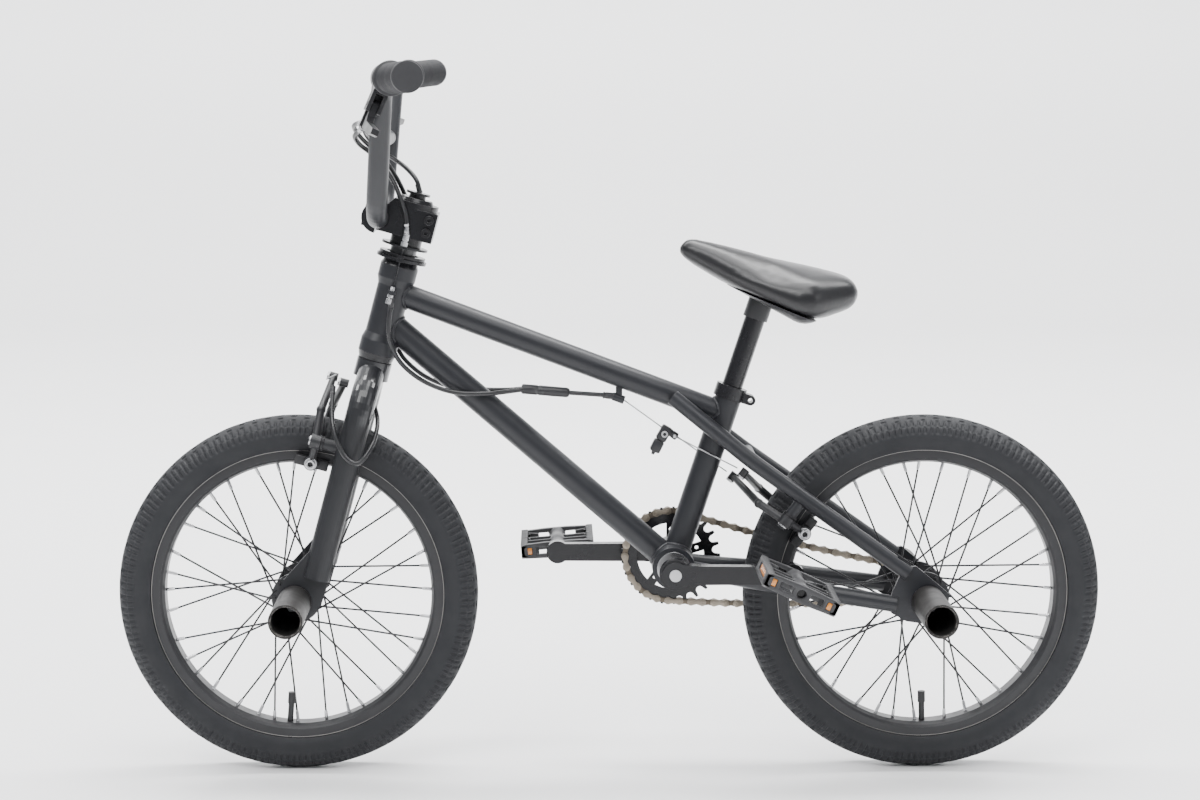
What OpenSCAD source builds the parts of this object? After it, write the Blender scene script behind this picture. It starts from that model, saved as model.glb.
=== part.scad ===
// Children's 16 inch freestyle bicycle with a brake-cable rotor and four stunt pegs.
// X runs to the rear, -Y is the rider's left, +Z is up, and the tyres stand on Z = 0.

/* [Wheels] */
// Outer diameter of both tyres
tyre_od = 390; // [380:1:400]
// Width of both tyres
tyre_w = 47; // [42:1:50]
// Distance between the two axles
wheelbase = 679; // [670:1:690]
// Number of spokes in each wheel
spoke_count = 36; // [28, 32, 36]

/* [Frame] */
// Height of the bottom bracket above the floor
bb_z = 226.5; // [220:0.5:232]
// Distance of the bottom bracket behind the middle of the wheelbase
bb_x = 67.5; // [62:0.5:72]
// Angle of the seat tube from the vertical
seat_tilt = 18.1; // [16:0.1:20]
// Angle of the head tube from the vertical
head_tilt = 15; // [13:0.5:17]
// Outer diameter of the top tube
top_tube_d = 26; // [24:0.5:29]
// Outer diameter of the down tube
down_tube_d = 28.6; // [26:0.2:32]

/* [Steering] */
// Forward offset of the front axle from the steering axis
fork_offset = 16; // [10:1:25]
// Width over both grip ends
bar_w = 580; // [520:5:640]
// Height of the grip ends above the floor
bar_z = 755; // [740:1:770]
// Length of one stunt peg
peg_len = 99; // [80:1:110]
// Outer diameter of one stunt peg
peg_d = 36; // [32:1:38]

/* [Drive] */
// Crank length from spindle to pedal axle
crank_len = 125; // [115:1:140]
// Teeth on the chainring
ring_teeth = 25; // [25]
// Teeth on the rear driver
driver_teeth = 9; // [9]

/* [Seat] */
// Width of the saddle at its rear
saddle_w = 132; // [120:1:150]

/* [Hidden] */

$fn = 72;
eps = 0.01;

// Wheel sizes
hub_z = tyre_od / 2;
front_x = -wheelbase / 2;
rear_x = wheelbase / 2;
tyre_r = tyre_w / 2;
tyre_ring_r = hub_z - tyre_r;
tyre_wall = 3;
rim_r = 158.5;
rim_in_r = 144.5;
rim_half_w = 16;
rim_wall = 2.2;
axle_d = 9.5;
front_old = 100;
rear_old = 110;
drop_t = 5;
flange_r = 27;
flange_y = 30;
flange_t = 3.2;
spoke_hole_r = 23.5;
spoke_d = 2;
nipple_d = 4;
bearing_od = 28;
bearing_w = 8;
cone_y = 37.6;
front_valve_turn = 4.6;
rear_valve_turn = -1.6;

// Steering axis: local Z runs up it, local X runs to the rear, the origin is level with the axle
foot_x = front_x + fork_offset * cos(head_tilt);
foot_z = hub_z - fork_offset * sin(head_tilt);
head_lo = 276;
head_hi = 373;
head_d = 36;
steerer_d = 28.6;
steerer_id = 23;
cup_h = 8;
cup_d = 41;
crown_h = 256;
leg_d = 28.6;
leg_id = 24;
leg_top_y = 44;
leg_low_y = 50;
stem_lo = 406;
stem_hi = 444;
stem_half_w = 25;
clamp_x = -34;
clamp_h = 419;
bar_d = 22.2;
bar_wall = 2;
ring_y = 29;
ring_lo = 379.6;
ring_t = 3.4;
plate_h = 394;
wire_d = 1.5;
lower_stop_h = 346;

// Handlebar corners, right half, in the row frame
bar_flat_y = 58;
bar_corner = [-238, 103, bar_z - 4];
bar_end = [-202, bar_w / 2, bar_z];
bar_bend_r = 34;
grip_len = 126;
grip_d = 30;
cross_z = 686;

// Frame points in the X-Z plane
seat_dir = [sin(seat_tilt), 0, cos(seat_tilt)];
bb = [bb_x, 0, bb_z];
seat_tube_d = 28.6;
seat_tube_len = 203;
seat_post_d = 22.2;
top_head_h = 345;
top_seat_len = 173;
down_head_h = 313;
shell_d = 46;
shell_half = 34;
stay_d = 17;
chainstay_d = 18;
drop_y = rear_old / 2;

// Chain, worked out on the line from the crank to the rear axle
pitch = 12.7;
chain_y = 42;
ring_pitch_r = pitch / (2 * sin(180 / ring_teeth));
driver_pitch_r = pitch / (2 * sin(180 / driver_teeth));
chain_vec = [rear_x - bb_x, hub_z - bb_z];
chain_len = norm(chain_vec);
chain_tilt = atan2(chain_vec[1], chain_vec[0]);
ring_links = 13;
driver_links = 3;
run_links = 22;
chain_sag = 5;
roller_d = 7.7;
link_h = 8.4;

// Crank
arm_y0 = 60;
arm_t = 13;
arm_h = 20;
crank_tilt = 0;
pedal_gap = 9;
pedal_w = 92;
pedal_l = 82;
pedal_h = 18;
pedal_axle_d = 14;
pedal_left_tilt = 24;
pedal_right_tilt = -5;

// Brakes: lateral, along, normal coordinates with the origin between the pads
brake_stud = [43, 25];
brake_knee = [31, 58];
front_tip = [13, 90];
rear_tip = [23, 90];
brake_cross_n = 7;
brake_bias_n = -5;
arm_r = 4;
pad_face = rim_half_w + 1.6;
front_pad_h = 147;
front_pad_x = -37;
rear_pad = [207.5, 0, 265.8];
rear_brake_tilt = 37;

black = [0.09, 0.09, 0.1];
matte = [0.13, 0.13, 0.15];
rubber = [0.07, 0.07, 0.075];
steel = [0.66, 0.66, 0.66];
peg_grey = [0.36, 0.35, 0.34];
nickel = [0.6, 0.55, 0.47];

// Routes of the cables, in the row frame
rotor_cable_left = [
    [-258, -111, 701], [-262, -98, 698], [-268, -84, 692], [-264, -68, 683],
    [-253, -53, 673], [-241, -42, 659], [-230, -34, 640], [-222, -30, 618],
    [-218, -29, 602], [-218, -29, 587]
];
rotor_cable_right = [
    [-258, -111, 706], [-263, -96, 706], [-269, -80, 702], [-266, -60, 693],
    [-257, -36, 681], [-244, -10, 667], [-233, 12, 649], [-223, 28, 626],
    [-218, 30, 606], [-218, 29, 587]
];
front_cable_upper = [
    [-258, 111, 703], [-265, 99, 702], [-270, 86, 697], [-267, 70, 689],
    [-258, 56, 679], [-247, 44, 671], [-234, 28, 664], [-220, 12, 655],
    [-209, 2, 643], [-205, 0, 629]
];
front_cable_lower = [
    [-255, 0, 447], [-259, -3, 425], [-256, -16, 407], [-250, -40, 390],
    [-252, -58, 372], [-260, -66, 356], [-270, -68, 347], [-281, -67, 352],
    [-290, -63, 366], [-296, -56, 385], [-298, -44, 405], [-298, -28, 424]
];
rear_cable_side = [
    [-234, 29, 519], [-237, 29, 500], [-238, 28, 480], [-233, 26, 462],
    [-222, 24, 445], [-200, 21, 428], [-170, 20, 417], [-135, 17, 415],
    [-112, 8, 416], [-94, 3, 418]
];
rear_cable_main = [[-48, 0, 414], [-34, 0, 413], [-18, 0, 412], [-6, 0, 411]];
cable_d = 5;

// ---- helper functions and shapes ----

function unit(v) = v / norm(v);
function at_head(x, y, h) = [
    foot_x + x * cos(head_tilt) + h * sin(head_tilt),
    y,
    foot_z - x * sin(head_tilt) + h * cos(head_tilt)
];
function on_seat(len) = bb + len * seat_dir;
function flip(p) = [p[0], -p[1], p[2]];

// Places children in the steering frame
module on_steering() {
    translate([foot_x, 0, foot_z]) rotate([0, head_tilt, 0]) children();
}

// Places children in the seat tube's frame
module on_seat_tube() {
    translate(bb) rotate([0, seat_tilt, 0]) children();
}

// Draws children on both sides of the bicycle
module both_sides() {
    children();
    mirror([0, 1, 0]) children();
}

// Round bar from a to b
module rod(a, b, d, d2 = -1) {
    v = b - a;
    translate(a) rotate([0, acos(v[2] / norm(v)), atan2(v[1], v[0])])
        cylinder(h = norm(v), d1 = d, d2 = d2 < 0 ? d : d2);
}

// Disc of thickness t across Y, centred at y
module disc(d, y, t) {
    translate([0, y + t / 2, 0]) rotate([90, 0, 0]) cylinder(h = t, d = d);
}

// Points along the round bend of radius r at corner b, between points a and c
function arc_points(a, b, c, r) =
    let(
        d0 = unit(b - a),
        d1 = unit(c - b),
        turn = acos(d0 * d1),
        side = unit(d1 - (d1 * d0) * d0),
        start = b - r * tan(turn / 2) * d0,
        centre = start + r * side,
        steps = ceil(turn / 9)
    )
    [for (k = [0 : steps]) let(t = turn * k / steps)
        centre + r * (sin(t) * d0 - cos(t) * side)];

// Smooth curve through hand-placed points, steps pieces to each span
function spline_at(a, b, c, e, t) = 0.5 * (2 * b + (c - a) * t
    + (2 * a - 5 * b + 4 * c - e) * t * t + (3 * b - a - 3 * c + e) * t * t * t);
function spline(p, steps) = [
    for (i = [0 : len(p) - 2], s = [0 : steps - 1])
        spline_at(p[max(i - 1, 0)], p[i], p[i + 1], p[min(i + 2, len(p) - 1)], s / steps),
    p[len(p) - 1]
];

// Ring of points round one place on a swept cord
function ring_at(c, dir, ref, r, sides) =
    let(u = unit(cross(dir, ref)), v = unit(cross(u, dir)))
    [for (k = [0 : sides - 1]) c + r * (cos(360 * k / sides) * u + sin(360 * k / sides) * v)];

// Solid round bar of diameter d swept along the points q
module swept(q, d, sides, ref) {
    n = len(q);
    dirs = [for (i = [0 : n - 1]) unit(q[min(i + 1, n - 1)] - q[max(i - 1, 0)])];
    pts = [for (i = [0 : n - 1]) each ring_at(q[i], dirs[i], ref, d / 2, sides)];
    caps = [
        [for (k = [sides - 1 : -1 : 0]) k],
        [for (k = [0 : sides - 1]) (n - 1) * sides + k]
    ];
    walls = [for (i = [0 : n - 2], k = [0 : sides - 1])
        [i * sides + k, i * sides + (k + 1) % sides,
            (i + 1) * sides + (k + 1) % sides, (i + 1) * sides + k]];
    polyhedron(points = pts, faces = concat(caps, walls), convexity = 8);
}

// Cord of diameter d along a smooth curve through the points p
module cord(p, d, sides = 8, steps = 3, ref = [0.31, 0.9, 0.13]) {
    swept(spline(p, steps), d, sides, ref);
}

// Round bar through the points p, with bends of radius r at the inner ones
module bent_rod(p, r, d, ref) {
    n = len(p);
    swept([
        p[0],
        for (i = [1 : n - 2]) each arc_points(p[i - 1], p[i], p[i + 1], r),
        p[n - 1]
    ], d, 32, ref);
}

// Open-ended round tube through the points p, outside diameter d and bore bore_d
module bent_tube(p, r, d, bore_d, ref) {
    m = len(p);
    q = [
        p[0],
        for (i = [1 : m - 2]) each arc_points(p[i - 1], p[i], p[i + 1], r),
        p[m - 1]
    ];
    n = len(q);
    sides = 32;
    dirs = [for (i = [0 : n - 1]) unit(q[min(i + 1, n - 1)] - q[max(i - 1, 0)])];
    pts = [for (rr = [d / 2, bore_d / 2], i = [0 : n - 1]) each ring_at(q[i], dirs[i], ref, rr, sides)];
    inner = n * sides;
    last = (n - 1) * sides;
    polyhedron(points = pts, convexity = 8, faces = [
        for (i = [0 : n - 2], k = [0 : sides - 1]) let(a = i * sides + k, b = i * sides + (k + 1) % sides)
            [a, b, b + sides, a + sides],
        for (i = [0 : n - 2], k = [0 : sides - 1]) let(
            a = inner + i * sides + k, b = inner + i * sides + (k + 1) % sides)
            [a, a + sides, b + sides, b],
        for (k = [0 : sides - 1]) let(b = (k + 1) % sides) [k, inner + k, inner + b, b],
        for (k = [0 : sides - 1]) let(b = (k + 1) % sides)
            [last + k, last + b, inner + last + b, inner + last + k]
    ]);
}

// Hexagonal nut across Y
module nut(af, y, t) {
    translate([0, y + t / 2, 0]) rotate([90, 0, 0])
        cylinder(h = t, d = af / cos(30), $fn = 6);
}

// ---- frame ----

// Outside of the head tube, flared at both ends
module head_outer() {
    translate([0, 0, head_lo]) cylinder(h = head_hi - head_lo, d = head_d);
    translate([0, 0, head_lo]) cylinder(h = 14, d = 41);
    translate([0, 0, head_lo + 14]) cylinder(h = 8, d1 = 41, d2 = head_d);
    translate([0, 0, head_hi - 14]) cylinder(h = 14, d = 41);
    translate([0, 0, head_hi - 22]) cylinder(h = 8, d1 = head_d, d2 = 41);
}

module head_tube() {
    color(matte) on_steering() difference() {
        union() {
            head_outer();
            // stops for the two lower cables
            translate([-4, -ring_y - 4, lower_stop_h - 2]) cube([8, 2 * ring_y + 8, 4]);
        }
        translate([0, 0, head_lo - 1]) cylinder(h = head_hi - head_lo + 2, d = 31);
        for (s = [-1, 1]) translate([0, s * ring_y, lower_stop_h - 5])
            cylinder(h = 10, d = 5);
    }
}

module top_tube_path(d) {
    rod(at_head(0, 0, top_head_h), on_seat(top_seat_len), d);
}

module down_tube_path(d) {
    rod(at_head(0, 0, down_head_h), bb, d);
}

module head_cut() {
    on_steering() head_outer();
}

module seat_cut() {
    on_seat_tube() cylinder(h = seat_tube_len + 40, d = seat_tube_d);
}

module shell_cut() {
    translate(bb) disc(shell_d, 0, 200);
}

module top_tube() {
    color(matte) {
        difference() {
            top_tube_path(top_tube_d);
            top_tube_path(top_tube_d - 3);
            head_cut();
            seat_cut();
        }
        // stop for the rear brake cable
        difference() {
            union() {
                rod([2, 0, 410], [14, 0, 405.6], 9);
                translate([5, -2, 408]) cube([7, 4, 14]);
            }
            top_tube_path(top_tube_d - eps);
            rod([-3, 0, 411.8], [20, 0, 403.4], 3);
        }
    }
}

module down_tube() {
    color(matte) difference() {
        down_tube_path(down_tube_d);
        down_tube_path(down_tube_d - 3);
        head_cut();
        top_tube_path(top_tube_d);
        shell_cut();
        seat_cut();
    }
}

module seat_tube() {
    color(matte) difference() {
        on_seat_tube() cylinder(h = seat_tube_len, d = seat_tube_d);
        on_seat_tube() translate([0, 0, -1]) cylinder(h = seat_tube_len + 2, d = seat_post_d + 0.1);
        shell_cut();
        // slot that lets the clamp close the tube
        on_seat_tube() translate([0, -1, seat_tube_len - 22]) cube([20, 2, 30]);
    }
}

module bottom_bracket_shell() {
    color(matte) translate(bb) difference() {
        disc(shell_d, 0, 2 * shell_half);
        disc(shell_d - 10, 0, 2 * shell_half + 2);
    }
}

// Left-hand chainstay's centre line
chainstay_path = [[bb_x + 8, -20, bb_z - 1], [118, -28, 219], [158, -42, 213.5], [306, -drop_y - 2, 192]];
seatstay_path = [[66, -16, 411], [150, -39, 345], [318, -drop_y - 2, 226]];

module dropout_plate() {
    translate([0, -drop_y, 0]) rotate([90, 0, 0]) linear_extrude(drop_t) difference() {
        union() {
            polygon([
                [300, 183], [316, 174], [336, 171], [356, 178], [364, 188],
                [364, 202], [350, 214], [326, 234], [312, 232], [300, 203]
            ]);
            translate([302, 193]) circle(r = 9);
        }
        translate([rear_x, hub_z]) circle(d = axle_d + 0.6);
        translate([rear_x, hub_z - axle_d / 2 - 0.3]) square([40, axle_d + 0.6]);
    }
}

module chainstays() {
    color(matte) both_sides() {
        difference() {
            bent_rod(chainstay_path, 90, chainstay_d, [0, 0, 1]);
            shell_cut();
        }
        dropout_plate();
    }
}

module seatstays() {
    color(matte) both_sides() {
        difference() {
            union() {
                bent_rod(seatstay_path, 120, stay_d, [0, 1, 0]);
                // boss that carries the brake arm
                rear_brake_frame() translate([-brake_stud[0], brake_stud[1], -30])
                    cylinder(h = 23, d = 13);
                rear_brake_frame() translate([-brake_stud[0], brake_stud[1], -9])
                    cylinder(h = 19, d = 7.9);
            }
            top_tube_path(top_tube_d);
            seat_cut();
            translate([306, -drop_y - drop_t, 150]) cube([80, drop_t, 100]);
        }
    }
    // bridge between the two stays
    color(matte) rod([150, -39, 345], [150, 39, 345], 14);
}

module seat_clamp() {
    h = 12;
    lo = seat_tube_len - h;
    color(black) on_seat_tube() difference() {
        union() {
            translate([0, 0, lo]) cylinder(h = h + 2, d = 34);
            translate([12, -8, lo]) cube([11, 16, h - 1]);
            translate([23, 8, lo + 5.5]) rotate([90, 0, 0]) cylinder(h = 16, d = 11);
        }
        translate([0, 0, lo - 1]) cylinder(h = h + 1, d = seat_tube_d);
        translate([0, 0, seat_tube_len - 1]) cylinder(h = 10, d = seat_post_d + 0.5);
        translate([0, -1, lo - 1]) cube([50, 2, 30]);
        translate([23, 12, lo + 5.5]) rotate([90, 0, 0]) cylinder(h = 24, d = 5);
    }
}

module headset_cups() {
    color(black) on_steering() {
        difference() {
            translate([0, 0, head_hi]) cylinder(h = cup_h - 2, d1 = cup_d, d2 = cup_d - 5);
            translate([0, 0, head_hi - 1]) cylinder(h = cup_h, d = 31);
        }
        difference() {
            translate([0, 0, head_lo - cup_h]) cylinder(h = cup_h, d1 = cup_d - 5, d2 = cup_d);
            translate([0, 0, head_lo - cup_h - 1]) cylinder(h = cup_h + 2, d = 31);
        }
    }
}

module headset_bearings() {
    color(steel) on_steering() for (h = [head_lo + 1, head_hi - 8]) difference() {
        translate([0, 0, h]) cylinder(h = 7, d = 31);
        translate([0, 0, h - 1]) cylinder(h = 9, d = steerer_d + 0.1);
    }
}

module bottom_bracket_bearings() {
    color(steel) translate(bb) both_sides() difference() {
        disc(shell_d - 10, -shell_half + 5, 10);
        disc(19.1, -shell_half, 30);
    }
}

module rear_brake_cable() {
    color(black) {
        both_sides() cord(rear_cable_side, cable_d);
        rod([-96, 0, 418], [-46, 0, 413.8], 11);
        cord(rear_cable_main, cable_d);
        rod([-8, 0, 411.2], [2, 0, 410], 8);
    }
    color(steel) both_sides() on_steering() difference() {
        translate([0, -ring_y, lower_stop_h - 13]) cylinder(h = 19, d = 4.8);
        translate([0, -ring_y, lower_stop_h - 11]) cylinder(h = 18, d = 2.6);
    }
    color(steel) both_sides() on_steering() difference() {
        translate([0, -ring_y, lower_stop_h - 13]) cylinder(h = 10.9, d = 7);
        translate([0, -ring_y, lower_stop_h - 11]) cylinder(h = 18, d = 2.6);
    }
}

// Hanger block, the wire it hangs on and the wires to the two brake arms
hanger = [66, 0, 369];
module rear_brake_hanger() {
    color(black) {
        rod([60, 0, 373], [72, 0, 365], 8);
        rod([53, 0, 362], [62, 0, 377], 10);
        rod([47, 0, 351], [53, 0, 361], 11);
    }
    color(steel) {
        rod([14.5, 0, 405.4], [62, 0, 371], wire_d);
        rod([69, -8, 367], [69, 8, 367], 4);
        for (s = [-1, 1])
            rod([69, s * 7, 367],
                rear_brake_point(s * rear_tip[0], rear_tip[1] + 8.8, s * brake_cross_n + brake_bias_n),
                wire_d);
    }
}

module rear_axle() {
    color(steel) translate([rear_x, 0, hub_z]) disc(axle_d, 0, rear_old + 2 * drop_t + 36);
}

module rear_axle_nuts() {
    color(steel) translate([rear_x, 0, hub_z]) both_sides() difference() {
        union() {
            nut(15, -drop_y - drop_t - 9, 9);
            disc(15, -(drop_y + cone_y) / 2, drop_y - cone_y);
        }
        disc(axle_d, 0, 200);
    }
}

// Peg with a floor that the axle nut holds and an open outer end
module peg(y0) {
    difference() {
        disc(peg_d, y0 - peg_len / 2, peg_len);
        disc(peg_d - 5.6, y0 - peg_len / 2 - 2.25, peg_len - 4.5);
        disc(peg_d - 4, y0 - peg_len + 0.9, 2);
        disc(axle_d + 0.4, y0, 20);
    }
}

module rear_pegs() {
    color(peg_grey) translate([rear_x, 0, hub_z]) both_sides() peg(-drop_y - drop_t);
}

// ---- chain drive ----

// Point on the chain loop, in the frame whose X runs from the crank to the rear axle
function ring_pin(k) = let(a = 180 - (k - ring_links / 2) * 360 / ring_teeth)
    ring_pitch_r * [cos(a), sin(a)];
function driver_pin(k) = let(a = (driver_links / 2 - k) * 360 / driver_teeth)
    [chain_len, 0] + driver_pitch_r * [cos(a), sin(a)];
function run_pin(a, b, k) = let(t = k / run_links)
    a * (1 - t) + b * t - 4 * chain_sag * t * (1 - t) * [0, 1];
chain_pins = [
    for (k = [ring_links : -1 : 1]) let(p = ring_pin(k)) [p[0], p[1]],
    for (k = [0 : run_links - 1]) run_pin(ring_pin(0), driver_pin(driver_links), k),
    for (k = [driver_links : -1 : 1]) driver_pin(k),
    for (k = [0 : run_links - 1]) run_pin(driver_pin(0), ring_pin(ring_links), k)
];

module on_chain_line() {
    translate([bb_x, chain_y, bb_z]) rotate([90, 0, 0]) rotate(chain_tilt)
        mirror([0, 0, 1]) children();
}

// Sprocket blank with a gap for each roller
module sprocket_teeth(teeth, r, t, start, slack, tip) {
    linear_extrude(t, center = true) difference() {
        circle(r = r + tip);
        for (k = [0 : teeth - 1]) rotate(start + k * 360 / teeth) translate([r, 0]) {
            circle(d = roller_d + slack, $fn = 24);
            polygon([[0, -4.3], [6, -6.2], [6, 6.2], [0, 4.3]]);
        }
    }
}

module chain() {
    n = len(chain_pins);
    color(nickel) on_chain_line() for (i = [0 : n - 1]) {
        a = chain_pins[i];
        b = chain_pins[(i + 1) % n];
        outer = i % 2;
        translate([a[0], a[1], -4.3]) cylinder(h = 8.6, d = 3.6, $fn = 24);
        translate([a[0], a[1], -1.7]) cylinder(h = 3.4, d = roller_d, $fn = 24);
        for (s = [-1, 1])
            translate([a[0], a[1], s * (outer ? 3.2 : 2.15) - 0.45])
                rotate(atan2(b[1] - a[1], b[0] - a[0])) link_plate(norm(b - a), 0.9);
    }
}

// Side plate of one link, drawn as a long octagon
module link_plate(l, t) {
    h = link_h / 2;
    linear_extrude(t) polygon([
        [-h, -h / 2], [-h / 2, -h], [l + h / 2, -h], [l + h, -h / 2],
        [l + h, h / 2], [l + h / 2, h], [-h / 2, h], [-h, h / 2]
    ]);
}

module driver_sprocket() {
    color(steel) on_chain_line() translate([chain_len, 0, 0]) difference() {
        union() {
            sprocket_teeth(driver_teeth, driver_pitch_r, 2.8,
                180 / driver_teeth * (driver_links % 2), 3.4, 2.6);
            translate([0, 0, -4.7]) cylinder(h = 5, d = 23);
        }
        translate([0, 0, -20]) cylinder(h = 40, d = axle_d + 6);
    }
}

module chainring() {
    ring_hole_r = 37;
    boss_r = 19;
    color(black) on_chain_line() difference() {
        sprocket_teeth(ring_teeth, ring_pitch_r, 3, 180 - 180 / ring_teeth * (ring_links % 2), 0.9, 4.2);
        linear_extrude(10, center = true) difference() {
            circle(r = ring_hole_r);
            circle(r = boss_r);
            for (k = [0 : 4]) rotate(18 - chain_tilt + k * 72) translate([0, -5]) square([60, 10]);
        }
        cylinder(h = 20, d = 19, center = true);
        for (k = [0 : 4]) rotate(18 - chain_tilt + k * 72) translate([30, 0, -5])
            cylinder(h = 10, d = 4);
    }
}

module crank_spindle() {
    color(steel) translate(bb) {
        disc(18.96, 0, 2 * (arm_y0 + arm_t - 4));
        both_sides() disc(12.9, -arm_y0 - arm_t + 2, 6);
    }
}

module crank_arms() {
    color(black) translate(bb) {
        crank_arm(-1, crank_tilt);
        crank_arm(1, 180 + crank_tilt);
    }
}

// Forged arm; side is -1 on the left and 1 on the right
module crank_arm(side, turn) {
    y = side * (arm_y0 + arm_t / 2);
    rotate([0, -turn, 0]) difference() {
        union() {
            disc(34, side * (arm_y0 - 2 + arm_t / 2), arm_t - 4);
            disc(29, y, arm_t);
            translate([crank_len, 0, 0]) disc(25, y, arm_t);
            translate([0, y + arm_t / 2, 0]) rotate([90, 0, 0]) linear_extrude(arm_t)
                polygon([[0, -12], [30, -arm_h / 2], [crank_len, -arm_h / 2 + 0.5],
                    [crank_len, arm_h / 2 - 0.5], [30, arm_h / 2], [0, 12]]);
            // boss that drives the chainring
            if (side > 0) disc(30, (arm_y0 + chain_y + 1.5) / 2, arm_y0 - chain_y - 1.5);
        }
        disc(19, 0, 2 * (arm_y0 + arm_t - 4));
        disc(13, 0, 300);
        translate([crank_len, 0, 0]) disc(pedal_axle_d, 0, 300);
    }
    // pedal axle screwed into the arm
    rotate([0, -turn, 0]) translate([crank_len, 0, 0]) {
        disc(pedal_axle_d, side * (arm_y0 + (arm_t + pedal_gap - 3) / 2), arm_t + pedal_gap - 3);
        disc(9, side * (arm_y0 + arm_t + pedal_w / 2), pedal_w - 4);
    }
}

// Plastic platform pedal lying flat round its own axle
module pedal_body() {
    difference() {
        union() {
            rotate([90, 0, 0]) cylinder(h = pedal_w - 8, d = 22, center = true);
            for (s = [-1, 1]) {
                translate([s * (pedal_l / 2 - 4), 0, 0]) cube([8, pedal_w, pedal_h], center = true);
                translate([0, s * (pedal_w / 2 - 4), 0]) cube([pedal_l - 6, 8, pedal_h - 4], center = true);
                translate([s * 27, 0, 0]) cube([5, pedal_w - 6, pedal_h - 8], center = true);
            }
            cube([pedal_l - 6, 8, pedal_h - 6], center = true);
        }
        rotate([90, 0, 0]) cylinder(h = pedal_w + 10, d = 9.12, center = true);
    }
}

module pedal_at(side, turn, tilt) {
    translate(bb) rotate([0, -turn, 0])
        translate([crank_len, side * (arm_y0 + arm_t + pedal_gap - 3 + 0.5 + pedal_w / 2), 0])
            rotate([0, turn + tilt, 0]) pedal_body();
}

module pedal_left() {
    color([0.16, 0.16, 0.17]) pedal_at(-1, crank_tilt, pedal_left_tilt);
}

module pedal_right() {
    color([0.16, 0.16, 0.17]) pedal_at(1, 180 + crank_tilt, pedal_right_tilt);
}

// ---- wheels ----

module at_front_axle() {
    translate([front_x, 0, hub_z]) children();
}

module at_rear_axle() {
    translate([rear_x, 0, hub_z]) children();
}

// Turned ring round the wheel's axle, from a profile drawn in radius and width
module turned() {
    rotate([90, 0, 0]) rotate_extrude($fn = 180) children();
}

// Half circle points of the casing, from angle a to angle b
function casing(r, a, b, steps) = [for (i = [0 : steps]) let(t = a + (b - a) * i / steps)
    [tyre_ring_r + r * cos(t), r * sin(t)]];
function bead(s) = [
    [rim_r + 0.3, s * 18.6], [rim_r + 0.3, s * 13.5], [rim_r - 5, s * 13.5],
    [rim_r - 5, s * 10.6], [rim_r + 1, s * 10.6]
];

module tyre() {
    color(rubber) turned() polygon(concat(
        casing(tyre_r, -122, 122, 42),
        bead(1),
        casing(tyre_r - tyre_wall, 118, -118, 34),
        [for (i = [4 : -1 : 0]) bead(-1)[i]]
    ));
}

module inner_tube(valve_turn) {
    color(rubber) {
        turned() difference() {
            tube_section(tyre_r - tyre_wall - 1.2, 163.5);
            tube_section(tyre_r - tyre_wall - 2.6, 165);
        }
        // valve stem and cap, pointing at the hub from the bottom of the rim
        rotate([0, valve_turn, 0]) translate([0, 0, -164.5]) {
            cylinder(h = 52, d = 6.4);
            translate([0, 0, 40]) cylinder(h = 12, d = 8.2);
        }
    }
}

module tube_section(r, from_r) {
    intersection() {
        translate([tyre_ring_r + 0.5, 0]) circle(r = r);
        translate([from_r, -30]) square([60, 60]);
    }
}

module rim(valve_turn) {
    color(black) difference() {
        turned() difference() {
            polygon([
                [rim_in_r, -9], [rim_in_r + 2.5, -14], [rim_in_r + 5, -rim_half_w],
                [rim_r, -rim_half_w], [rim_r, rim_half_w], [rim_in_r + 5, rim_half_w],
                [rim_in_r + 2.5, 14], [rim_in_r, 9]
            ]);
            translate([152, -rim_half_w + rim_wall]) square([20, 2 * (rim_half_w - rim_wall)]);
        }
        rotate([0, valve_turn, 0]) translate([0, 0, -170]) cylinder(h = 40, d = 6.8);
    }
}

// Spokes laced three-cross between one flange pair and the rim
module spokes() {
    per_side = spoke_count / 2;
    cross_turn = 3 * 360 / per_side;
    for (i = [0 : per_side - 1], side = [-1, 1]) {
        lean = i % 2 == 0 ? 1 : -1;
        hub_a = (i + (side > 0 ? 0.5 : 0)) * 360 / per_side;
        rim_a = (2 * i + (side > 0 ? 1 : 0)) * 360 / spoke_count + lean * cross_turn * 0.98;
        p = [spoke_hole_r * cos(hub_a), side * (flange_y + lean * 1.2), spoke_hole_r * sin(hub_a)];
        q = [(rim_in_r + 2) * cos(rim_a), side * 2.5, (rim_in_r + 2) * sin(rim_a)];
        back = unit(p - q);
        color(black) rod(p, q, spoke_d, $fn = 16);
        color(steel) rod(q, q + 13 * back, nipple_d, $fn = 16);
    }
}

module hub() {
    color(black) difference() {
        union() {
            disc(32, 0, 2 * flange_y);
            both_sides() disc(2 * flange_r, -flange_y, flange_t);
            both_sides() disc(36, -flange_y - 3.5, 7);
        }
        both_sides() disc(bearing_od, -flange_y - 3.5, 10);
        disc(22, 0, 2 * flange_y + 10);
    }
}

module hub_bearings() {
    color(steel) both_sides() difference() {
        disc(bearing_od, -flange_y - 2.5, bearing_w);
        disc(axle_d + 0.1, 0, 100);
    }
}

module rear_tyre() at_rear_axle() tyre();
module rear_inner_tube() at_rear_axle() inner_tube(rear_valve_turn);
module rear_rim() at_rear_axle() rim(rear_valve_turn);
module rear_spokes() at_rear_axle() spokes();
module rear_hub() at_rear_axle() hub();
module rear_hub_bearings() at_rear_axle() hub_bearings();
module front_tyre() at_front_axle() tyre();
module front_inner_tube() at_front_axle() inner_tube(front_valve_turn);
module front_rim() at_front_axle() rim(front_valve_turn);
module front_spokes() at_front_axle() spokes();
module front_hub() at_front_axle() hub();
module front_hub_bearings() at_front_axle() hub_bearings();

// ---- steering ----

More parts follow.
